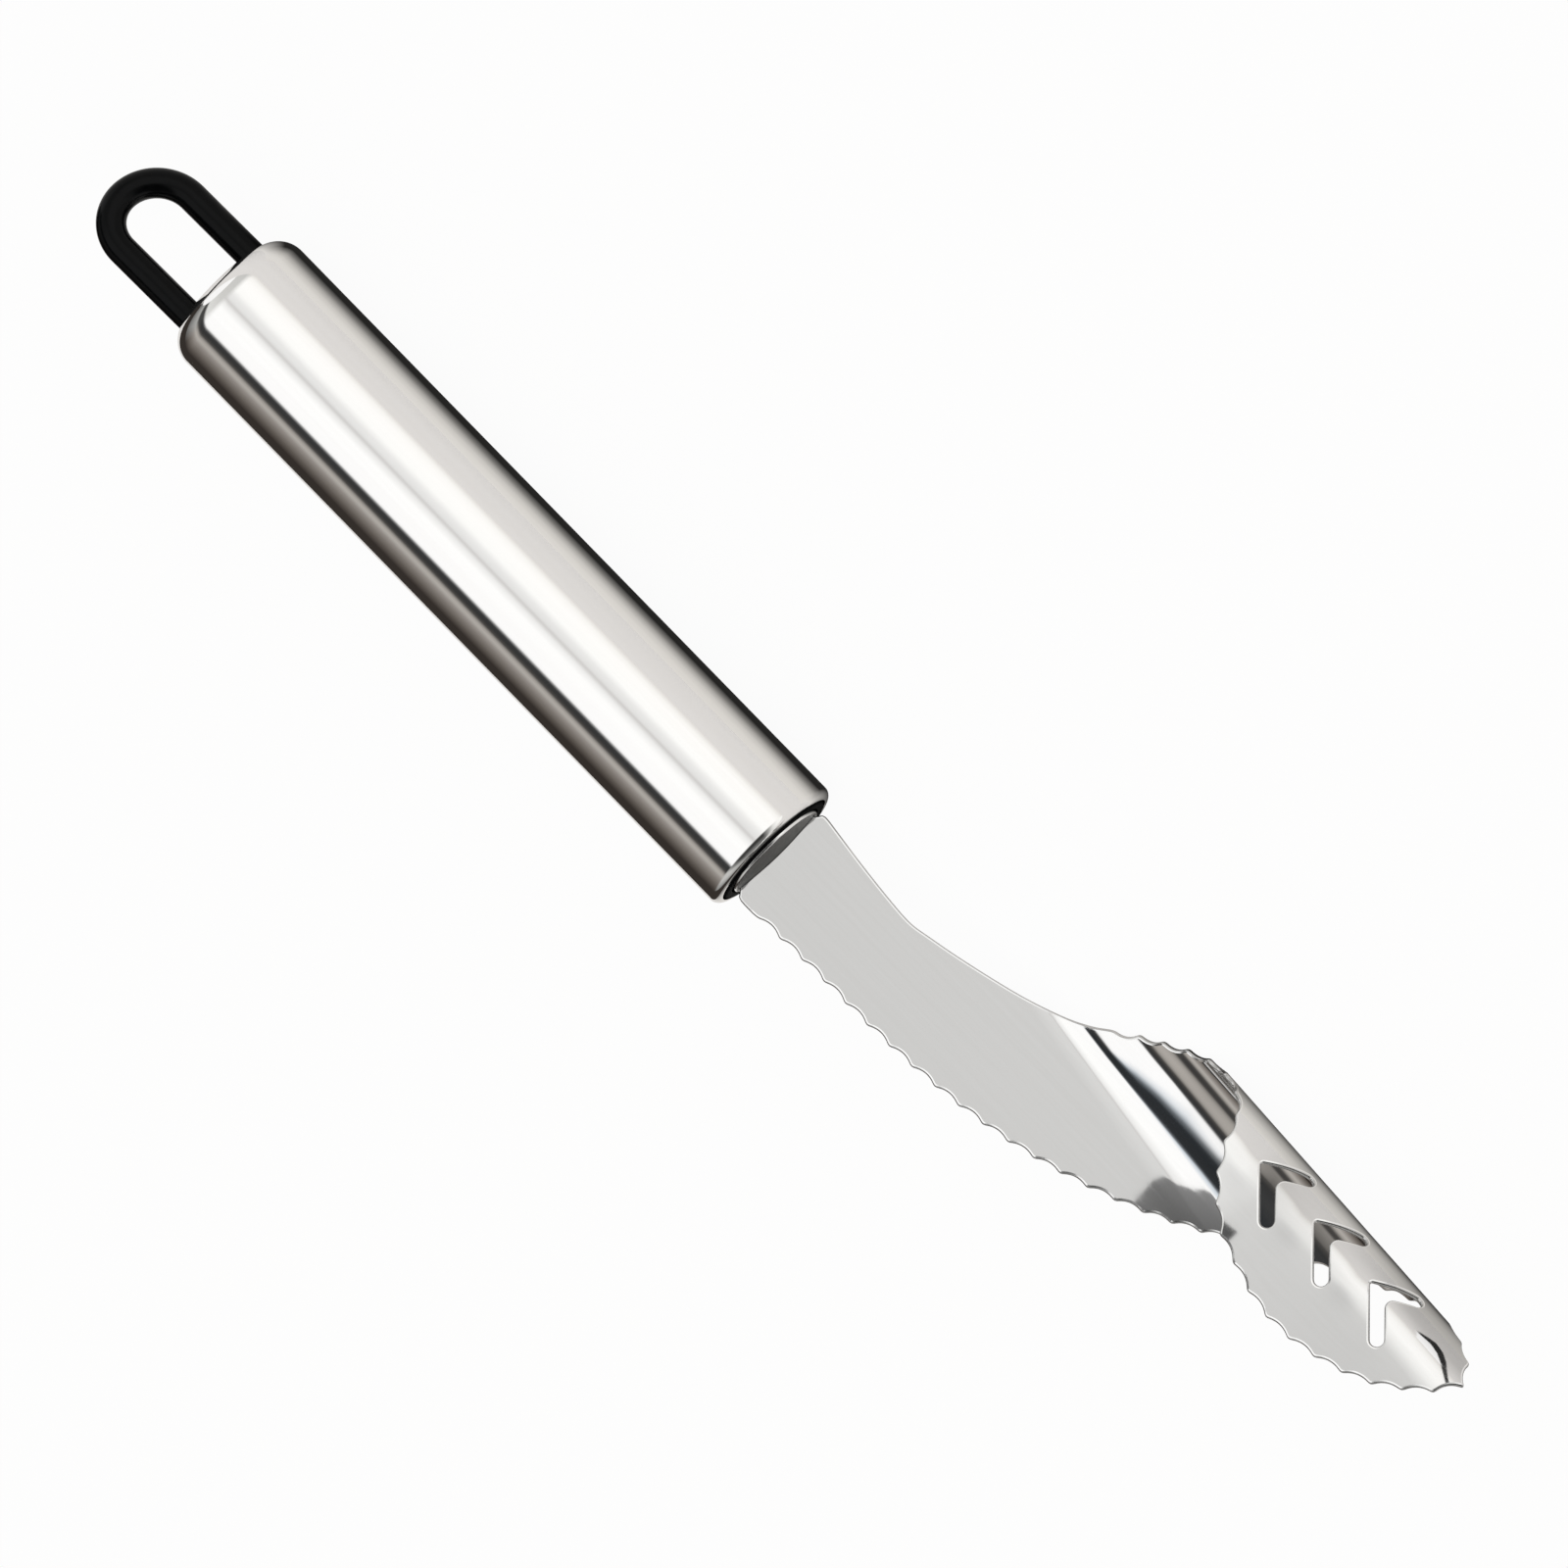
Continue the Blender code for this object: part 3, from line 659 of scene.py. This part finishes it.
def spun(profile, normal, count=192):
    """Point = (x, r cos a, r sin a) for each profile point (x, r) and angle a; returns points, normals, faces."""
    ring = np.column_stack([np.ones(count), circle(count)])
    grid, facing = (np.stack([v[:, 0], v[:, 1], v[:, 1]], axis=1)[:, None] * ring[None]
                    for v in (profile, normal))
    return grid.reshape(-1, 3), facing.reshape(-1, 3), strips(len(profile), count, around=True)


tube_path, tube_normal = rounded(
    [(TUBE_BACK + SHOULDER, TUBE_RADIUS), (TUBE_FRONT, TUBE_RADIUS), (TUBE_FRONT, LIP), (BORE_END, LIP),
     (BORE_END, 0.0)], (TUBE_RIM, 0.04, 0.2), 14)
wall = np.linspace(TUBE_BACK + SHOULDER, TUBE_FRONT - TUBE_RIM - 0.5, 24)[1:]
tube_path = np.vstack([tube_path[:1], np.stack([wall, np.full(len(wall), TUBE_RADIUS)], axis=1), tube_path[1:]])
tube_normal = np.vstack([tube_normal[:1], np.tile([0.0, 1.0], (len(wall), 1)), tube_normal[1:]])
tube_points, tube_facing, tube_faces = spun(tube_path, tube_normal)
print("tube profile of", len(tube_path), "points")

# %% [markdown]
# The two legs lean a little and sit a little to one side of the middle, and the loop is turned a few degrees from
# the blade's plane. The same frame places the loop and the holes.

# %% The loop's frame and the holes in the back end
BAR, LEG_SPACING, LOOP_TOP = 1.83, 10.5, -111.8
LOOP_LEAN, LOOP_SIDE, LOOP_SKEW, LOOP_TURN = math.radians(0.9), -0.3, 0.1, math.radians(-12)
pivot = Vector((TUBE_BACK, 0.0, 0.0))
loop_frame = np.array(
    Matrix.Rotation(LOOP_TURN, 4, "X") @ Matrix.Translation((0, LOOP_SIDE, 0)) @ Matrix.Translation(pivot)
    @ Matrix.Rotation(LOOP_LEAN, 4, "Z") @ Matrix.Translation(-pivot))
FLAT_END = TUBE_RADIUS - SHOULDER
END_RUN = FLAT_END + SHOULDER * math.pi / 2


def unrolled(y, z):
    """A point seen from behind, moved out to its distance along the rounded end from the middle."""
    r = np.hypot(y, z)
    run = np.where(r < FLAT_END, r, FLAT_END + SHOULDER * np.arcsin(np.clip((r - FLAT_END) / SHOULDER, 0, 1)))
    return np.stack([y, z], axis=-1) * (run / np.maximum(r, 1e-9))[..., None]


def over_end(flat):
    """The way back: distance along the end gives the arc angle, and that gives radius, depth and normal."""
    run = np.hypot(*flat.T)
    a = np.maximum(run - FLAT_END, 0.0) / SHOULDER
    r = np.where(run < FLAT_END, run, FLAT_END + SHOULDER * np.sin(a))
    spread = flat / np.maximum(run, 1e-9)[:, None]
    points = np.column_stack([TUBE_BACK + SHOULDER * (1 - np.cos(a)), spread * r[:, None]])
    return points, np.column_stack([-np.cos(a), spread * np.sin(a)[:, None]])


def ringed(radii, count):
    """Rings of count points round the middle."""
    return (radii[:, None, None] * circle(count)[None]).reshape(-1, 2)


HOLE, CHAMFER, HOLE_FLOOR, AROUND = BAR + 0.12, 0.1, TUBE_BACK + 7.0, 48
legs = [(loop_frame @ np.array([TUBE_BACK + 0.5, s * LEG_SPACING / 2, 0.0, 1.0]))[1:3] for s in (1, -1)]
hole_loops = [unrolled(*(leg + (HOLE + CHAMFER) * circle(AROUND)).T)[::-1] for leg in legs]
loops = [END_RUN * circle(192)] + hole_loops
inner = ringed(np.concatenate([FLAT_END * np.linspace(0, 1, 9)[1:-1], np.linspace(FLAT_END, END_RUN, 26)[:-1]]), 128)
flat = np.vstack(loops + [inner[inside(inner, [inset(loop, 0.12)[0] for loop in loops])]])
fill = filled(flat, loops, 1e-6)
end_points, end_facing = over_end(flat)
print("back end filled with", len(fill), "triangles")

# %% The tube
points, facing = [end_points, tube_points], [end_facing, tube_facing]
faces = [fill, halves(tube_faces) + len(flat)]
start = len(flat) + len(tube_points)
for leg, loop in zip(legs, hole_loops):
    mouth, mouth_facing = over_end(loop)
    spread = (mouth[:, 1:] - leg) / np.linalg.norm(mouth[:, 1:] - leg, axis=1, keepdims=True)
    wall_in = -np.column_stack([np.zeros(AROUND), spread])
    edge = np.column_stack([mouth[:, 0] + CHAMFER, leg + HOLE * spread])
    floor = np.column_stack([np.full(AROUND, HOLE_FLOOR), leg + HOLE * spread])
    points += [mouth, edge, floor, np.tile([HOLE_FLOOR, *leg], (AROUND, 1))]
    facing += [mouth_facing, wall_in, wall_in, np.tile([-1.0, 0.0, 0.0], (AROUND, 1))]
    faces.append(halves(strips(4, AROUND, around=True)) + start)
    start += 4 * AROUND
tube = piece("handle_shell", np.vstack(points), np.vstack(faces), np.vstack(facing), [mirror_steel])
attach(tube, "root")
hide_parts("handle_tube")

# %% [markdown]
# ## The front of the handle
# A black plug fills the front of the tube and stands a little proud of the rim, so that it shows as a black ring.
# A thin satin disc with a slot sits in its face, and the blade goes in through the slot. The plug is a profile
# carried round the axis. The disc is the plate from before, slightly domed.

# %% The plug's ring
PLUG_RADIUS, PLUG_FACE, PLUG_BORE, PLUG_BACK, PLUG_MIDDLE = 8.05, 0.65, 6.55, -22.0, -10.0
DISC_RADIUS, DISC_FACE, DOME, SEAT, SEAT_GAP = 6.75, 0.85, 0.55, -0.3, 0.3
SEAT_RADIUS = DISC_RADIUS + 0.25
plug_path, plug_normal = rounded(
    [(PLUG_MIDDLE, PLUG_BORE), (PLUG_BACK, PLUG_BORE), (PLUG_BACK, PLUG_RADIUS), (PLUG_FACE, PLUG_RADIUS),
     (PLUG_FACE, SEAT_RADIUS), (SEAT, SEAT_RADIUS), (SEAT, PLUG_BORE), (PLUG_MIDDLE, PLUG_BORE)],
    (0.2, 0.2, 0.3, 0.12, 0.1, 0.1), 8)
points, facing, faces = spun(plug_path, plug_normal, 128)
plug = piece("front_ring", points, faces, facing, [matt_black])
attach(plug, "root")
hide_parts("front_plug")

# %% The disc
SLOT_HALF, SLOT_SIDE, NEAR = SHEET / 2 + 0.25, TANG_HALF + 0.1, 0.3
slot_loop = even(np.array(rectangle(SLOT_SIDE, -SLOT_SIDE, -SLOT_HALF, SLOT_HALF)), 0.4)
thick = DISC_FACE - SEAT - SEAT_GAP
inner = ringed(np.linspace(0.6, 6.6, 14), 72)
flat, heights, normals, faces, kinds = plate(
    [DISC_RADIUS * circle(160), slot_loop], inner, thick / 2, 0.16, 0.05, 0.03, [1.0, 0.0])
by_slot = (np.abs(flat[:, 0]) < SLOT_SIDE + NEAR) & (np.abs(flat[:, 1]) < SLOT_HALF + NEAR)
kinds = np.where(by_slot[faces].all(axis=1), 0, kinds)
r = np.minimum(np.hypot(*flat.T) / DISC_RADIUS, 1.0)
place = np.column_stack([DISC_FACE - thick / 2 + heights + DOME * (1 - r ** 2) * (heights > 0), flat])
lean = 2 * DOME * flat / DISC_RADIUS ** 2
facing = np.column_stack([normals[:, 2], normals[:, :2] + lean * np.maximum(normals[:, 2:], 0.0)])
# Painted shade next to the slot, fading within about 1.8 mm of the middle.
painted_slot_shade = np.interp(np.abs(flat[:, 1]), (SLOT_HALF, 0.9, 1.8), (1.0, 0.8, 0.0))
disc = piece("front_face", place, faces, facing, [satin_steel, edge_steel, edge_steel], kinds, {"painted_slot_shade": painted_slot_shade})
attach(disc, "root")
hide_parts("front_disc")

# %% [markdown]
# ## The hanging loop
# The loop is a round black bar bent to a U. A circle is carried along two straight legs and a half circle, which
# in the photo sits a little askew. The ends close inside the handle.

# %% The loop
LEG_END = -88.0
half = LEG_SPACING / 2
middle = LOOP_TOP + half + BAR
a = np.linspace(0, math.pi, 97)
arch = np.column_stack([middle - half * np.sin(a) - LOOP_SKEW * half * np.cos(a), -half * np.cos(a)])
leg_x = np.linspace(LEG_END, middle, 30)[:-1]
drift = LOOP_SKEW * half * (leg_x - LEG_END) / (middle - LEG_END)
legs_in = np.column_stack([leg_x - drift, np.full(len(leg_x), -half)])
legs_out = np.column_stack([leg_x + drift, np.full(len(leg_x), half)])[::-1]
path = np.vstack([legs_in, arch, legs_out])
along = np.gradient(path, axis=0)
along /= np.hypot(*along.T)[:, None]
sideways = np.column_stack([-along[:, 1], along[:, 0], np.zeros(len(path))])
turn_round = circle(AROUND)[None, :, :, None]
facing = turn_round[:, :, 0] * sideways[:, None] + turn_round[:, :, 1] * np.array([0.0, 0.0, 1.0])
spine = np.column_stack([path, np.zeros(len(path))])[:, None]
caps = [np.repeat(end, AROUND, axis=1) for end in (spine[:1], spine[-1:])]
grid = np.concatenate([caps[0], spine + BAR * facing, caps[1]])
end_way = np.broadcast_to([1.0, 0.0, 0.0], (1, AROUND, 3))
facing = np.concatenate([end_way, facing, end_way])
grid = grid.reshape(-1, 3) @ loop_frame[:3, :3].T + loop_frame[:3, 3]
facing = facing.reshape(-1, 3) @ loop_frame[:3, :3].T
loop = piece("loop_bar", grid, strips(len(path) + 2, AROUND, around=True), facing, [black_plastic])
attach(loop, "root")
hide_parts("hanging_loop")

# %% [markdown]
# The anchor that holds the legs is inside the closed end and never shows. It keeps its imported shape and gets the
# black plastic.

# %% The anchor
anchor = frame["nodes"]["loop_anchor"]
anchor.data.materials.clear()
anchor.data.materials.append(black_plastic)
print("anchor keeps its shape, finish", anchor.data.materials[0].name)

# %% [markdown]
# ## The table and the light
# Polished steel looks like what is around it, so the studio matters as much as the finish. The room is one plain
# white dome of strength 1. The table is pale paper. The camera sees it almost white, steel sees it a little less
# so, and both keep the shadow under the tool.


# %% Table and room
CAMERA_SEES, STEEL_SEES, TABLE_LEVEL = 0.95, 0.22, -0.0002


def new_stage(name, corners, material):
    """A flat card through its corners in metres."""
    card = new_object(name, corners, [range(len(corners))], [material])
    return card


def bare_material(name):
    """A material with only an output; returns the material, its tree and the output's surface socket."""
    material = bpy.data.materials.new(name)
    material.use_nodes = True
    tree = material.node_tree
    tree.nodes.clear()
    return material, tree, tree.nodes.new("ShaderNodeOutputMaterial").inputs["Surface"]


table_paper, tree, surface = bare_material("table_paper")
paper = node(tree, "BsdfDiffuse", "BSDF", {"Color": (0.7, 0.675, 0.65, 1.0)})
white = node(tree, "Emission", "Emission", {"Color": (1.0, 1.0, 1.0, 1.0)})
kind = tree.nodes.new("ShaderNodeLightPath").outputs
steel = node(tree, "Math", "Value", {0: kind["Is Glossy Ray"], 1: kind["Is Transmission Ray"]}, operation="MAXIMUM")
less = node(tree, "Math", "Value", {0: steel, 1: STEEL_SEES}, operation="MULTIPLY")
share = node(tree, "Math", "Value", {0: kind["Is Camera Ray"], 1: CAMERA_SEES, 2: less}, operation="MULTIPLY_ADD")
link(node(tree, "MixShader", "Shader", {"Fac": share, 1: paper, 2: white}), surface)
table = new_stage("table", [(x, y, TABLE_LEVEL) for x, y in rectangle(-3, 3, -3, 3)], table_paper)
room = bpy.data.worlds.new("white_room")
bpy.context.scene.world = room
room.use_nodes = True
room.node_tree.nodes["Background"].inputs["Color"].default_value = (1.0, 1.0, 1.0, 1.0)
print("table", [round(v, 1) for v in table.dimensions], "m, room strength 1")

# %% [markdown]
# A photographer hangs strips of cloth and card round polished steel, so that it shows clean bands and not the room.
# Here they are one half tunnel over the tool, whose grey depends on the angle round the handle, measured from
# straight out of the blade's face. It leaves the light on the tool as it is: only reflections see it. Its ends have
# tones of their own, which show in the rounded back of the handle, in the front rim and in the small disc.

# %% Half tunnel of cloth
CLOTH = [(-140, (0.035, 0.029, 0.025)), (-122, (0.055, 0.046, 0.04)), (-112, (0.115, 0.1, 0.088)),
         (-102, (0.2, 0.18, 0.162)), (-94, (0.3, 0.275, 0.255)), (-88, (0.43, 0.41, 0.38)),
         (-86, (0.45, 0.42, 0.39)), (-82, (0.36, 0.34, 0.315)), (-77, (0.07, 0.066, 0.062)),
         (-72, 0.036), (-66.5, (0.043, 0.044, 0.045)), (-64, 0.23),
         (-61, 0.97), (-58, 1.04), (-26, (1.06, 1.06, 1.05)), (-17, (0.9, 0.9, 0.89)),
         (-11.5, (0.66, 0.65, 0.64)), (-8, (0.8, 0.8, 0.79)), (0, (0.88, 0.88, 0.87)), (9, (1.05, 1.05, 1.03)),
         (29, (1.07, 1.06, 1.04)), (36, (1.01, 1, 0.97)), (41, (0.86, 0.84, 0.81)), (45, (0.72, 0.69, 0.66))]
BACK_END = [(-140, 0.05), (-88, 0.4), (-80, 0.06), (-66, 0.06), (-58, 0.75), (-20, 0.66), (45, 0.6)]
FRONT_END = [(-140, 0.07), (-115, 0.33), (-95, 0.55), (-78, 0.55), (-66, 0.25), (-50, 0.05), (-12, 0.04), (3, 0.05),
             (6, 0.13), (12, 0.3), (18, 0.5), (24, 0.8), (34, 1.0), (45, 1.02)]
FAR_END = [(-140, 0.12), (-115, 0.35), (-95, 0.3), (-78, 0.3), (-63, 0.22), (-50, 0.19), (0, 0.15), (12, 0.2),
           (18, 0.4), (24, 0.6), (36, 0.72), (45, 0.85)]
ENDS = ((BACK_END, [(-1.0, 1), (-0.55, 0)]), (FRONT_END, [(0.08, 0), (0.3, 1)]), (FAR_END, [(0.7, 0), (2.4, 1)]))
TUNNEL_ENDS = (-2.5, 20.0)


def banded(value, stops):
    """A colour ramp over value, through stops of (value, colour), or (value, level) for a grey."""
    low, high = stops[0][0], stops[-1][0]
    tree = value.id_data
    spread = node(tree, "MapRange", "Result", {"Value": value, "From Min": low, "From Max": high})
    band = node(tree, "ValToRGB", "Color", {"Fac": spread})
    elements = band.node.color_ramp.elements
    while len(elements) < len(stops):
        elements.new(0.5)
    for element, (at, colour) in zip(elements, stops):
        colour = colour if isinstance(colour, tuple) else (colour,) * 3
        element.position, element.color = (at - low) / (high - low), (*colour, 1.0)
    return band


def along_axis(tree, axis):
    """One of the Object coordinates."""
    return node(tree, "SeparateXYZ", axis, {"Vector": node(tree, "TexCoord", "Object")})


def glowing(surface, colour):
    """Lets the material glow in a colour."""
    link(node(surface.id_data, "Emission", "Emission", {"Color": colour}), surface)


def only_mirrored(card):
    """The card shows in reflections alone: no camera, shadow or diffuse ray meets it."""
    card.visible_camera = card.visible_diffuse = card.visible_shadow = False


cloth, tree, surface = bare_material("tunnel_cloth")
where = node(tree, "TexCoord", "Object")
sideways, outwards = (node(tree, "VectorMath", "Value", {0: where, 1: axis}, operation="DOT_PRODUCT")
                      for axis in (LAY[:, 1], LAY[:, 2]))
angle = node(tree, "Math", "Value", {0: sideways, 1: outwards}, operation="ARCTAN2")
colour = banded(angle, [(math.radians(d), c) for d, c in CLOTH])
for end, stops in ENDS:
    there = banded(along_axis(tree, "X"), stops)
    tones = banded(angle, [(math.radians(d), (v, v, 0.97 * v)) for d, v in end])
    colour = mixed(there, colour, tones)
glowing(surface, colour)
arc = np.linspace(-math.pi / 2, math.pi / 2, 181)
tunnel_points = np.vstack([np.column_stack([np.full(len(arc), x), np.sin(arc), np.cos(arc)]) for x in TUNNEL_ENDS])
tunnel = new_object("cloth_tunnel", tunnel_points, strips(2, len(arc)), [cloth])
only_mirrored(tunnel)
print("tunnel of", len(CLOTH), "bands")

# %% [markdown]
# Seven cards finish the set. Three with soft edges lie on the table, along the handle, along the fold and before the
# front rim, and a dark one stands behind the tool. They draw the dark lines down both sides of the handle and down
# the fold, and darken the rim. The others are made for the photo's angle: a flag over the blade for the dark patch
# beside the flap, and a small upright pair, dark and white, for the arc and the bright spot at the tip.

# %% Cards
HANDLE_EDGE = [(-16, 0.03), (1, 0.018), (3.1, 0.19), (4.9, 0.42), (7.1, 0.61), (9.5, 0.7), (14, 0.74)]
FRONT_EDGE = [(-58, 0.2), (-26, 0.26), (-16, 0.3), (-8, 0.74)]
FOLD_EDGE = [(6, 0.03), (12, 0.05), (14, 0.2), (16, 0.42), (19, 0.62), (24, 0.74)]
TABLE_TONE, CARD_LEVEL, BESIDE = (0.76, 0.74, 0.71, 1.0), -0.0001, 35.0
STANDING_AT, STANDING_TOP = -0.058, 0.028


def lying_card(name, edge, ends, fade):
    """A card on the table, grey by its Y from edge (mm, level), fading to the table's tone over fade at its ends."""
    material, tree, surface = bare_material(name)
    low, high = ends
    tone = banded(along_axis(tree, "Y"), [(y / 1000, (1.03 * v, v, 0.95 * v)) for y, v in edge])
    fading = banded(along_axis(tree, "X"), [(low, 1), (low + fade, 0), (high - fade, 0), (high, 1)])
    glowing(surface, mixed(fading, tone, TABLE_TONE))
    corners = rectangle(low, high, edge[0][0] / 1000, edge[-1][0] / 1000)
    return new_stage(name, [(x, y, CARD_LEVEL) for x, y in corners], material)


def hung_card(name, place, dark, light):
    """A small card through the corners place (m), from dark at its highest X to light at its lowest."""
    material, tree, surface = bare_material(name)
    ends = place[:, 0].min(), place[:, 0].max()
    glowing(surface, banded(along_axis(tree, "X"), [*zip(ends, (light, dark))]))
    return new_stage(name, place.tolist(), material)


def upright(corners):
    """Corners (along, up) in mm of a card that stands upright beside the tool."""
    along, height = np.array(corners).T
    return np.column_stack([along + SHIFT[0], np.full(len(along), BESIDE), height]) / 1000


lying = [lying_card("handle_card", HANDLE_EDGE, (-0.1, 0.01), 0.008),
         lying_card("fold_card", FOLD_EDGE, (0.046, 0.118), 0.008),
         lying_card("front_card", FRONT_EDGE, (0.004, 0.08), 0.02)]
dark_card, _, surface = bare_material("dark_card")
glowing(surface, (0.036, 0.030, 0.026, 1.0))
corners = [(x, STANDING_AT, z) for x, z in rectangle(-0.2, 0.2, 0.0, STANDING_TOP)]
standing = new_stage("standing_card", corners, dark_card)
FLAG = np.array([(60.9, 0.5), (60.5, 5), (63.5, 7), (72, 8), (72, -36), (57.4, -36), (58.8, -28),
                 (61.4, -12)])
FLAG_HEIGHT, FLAG_BACK = 40.0, 6.3
flag_place = np.column_stack([FLAG[:, 0] - FLAG_BACK, FLAG[:, 1], np.full(len(FLAG), FLAG_HEIGHT)])
flag = hung_card("flag", (flag_place @ LAY.T + SHIFT) / 1000, 0.1, 0.27)
ARC = [(93, 9), (94.3, 7.9), (95.4, 6.9), (96.7, 8.2), (97.6, 11.5)]
BELOW_ARC = [(98.3, 16.5), (98.7, 20), (99.5, 18), (99, 13.8), (98.4, 7.6), (97.4, 3.6), (96, 2.2), (94.8, 4.4),
             (93.4, 7.4)]
tip_card = hung_card("tip_card", upright(ARC + BELOW_ARC), 0.03, 0.03)
tip_light = hung_card("tip_light", upright(ARC + [(97.9, 12.4), (93, 12.4)]), 1.05, 1.05)
cards = (*lying, standing, flag, tip_card, tip_light)
for card in cards:
    only_mirrored(card)
print("cards:", [card.name for card in cards])

# %% [markdown]
# ## The camera
# The photo looks almost straight at the blade's face, 9 degrees towards the tip side, with the handle running
# from the upper left to the lower right. It has no perspective to speak of, so the camera is orthographic.

# %% Camera
IMAGE, PIXELS_PER_MM, TIP_WAY = 1600, 8.63, np.array([0.6984, 0.7157])
ORIGIN_PIXEL, CAMERA_AWAY = np.array([787.3, 864.6]), 600
tilt = math.radians(9)
image_x = np.array([math.cos(tilt), 0.0, -math.sin(tilt)])
towards = np.array([math.sin(tilt), 0.0, math.cos(tilt)])
side = np.array([0.0, 1.0, 0.0])
right = TIP_WAY[0] * image_x + TIP_WAY[1] * side
up = -TIP_WAY[1] * image_x + TIP_WAY[0] * side
offset = (IMAGE / 2 - ORIGIN_PIXEL) / PIXELS_PER_MM
target = (TIP_WAY @ offset) * image_x + (TIP_WAY[1] * offset[0] - TIP_WAY[0] * offset[1]) * side
camera_data = bpy.data.cameras.new("camera")
camera_data.type = "ORTHO"
camera_data.ortho_scale = IMAGE / PIXELS_PER_MM / 1000
camera_data.clip_end = 20.0
camera = bpy.data.objects.new("camera", camera_data)
turned = Matrix((LAY @ np.stack([right, up, towards], axis=1)).tolist()).to_4x4()
turned.translation = Vector((LAY @ (target + CAMERA_AWAY * towards) + SHIFT) / 1000)
camera.matrix_world = turned
bpy.context.scene.collection.objects.link(camera)
bpy.context.scene.camera = camera
bpy.context.scene.view_settings.view_transform = "Standard"
print("camera at", [round(v, 3) for v in camera.location])

# %% [markdown]
# Last, the scene is brought up to date.

# %% Scene update
bpy.context.view_layer.update()
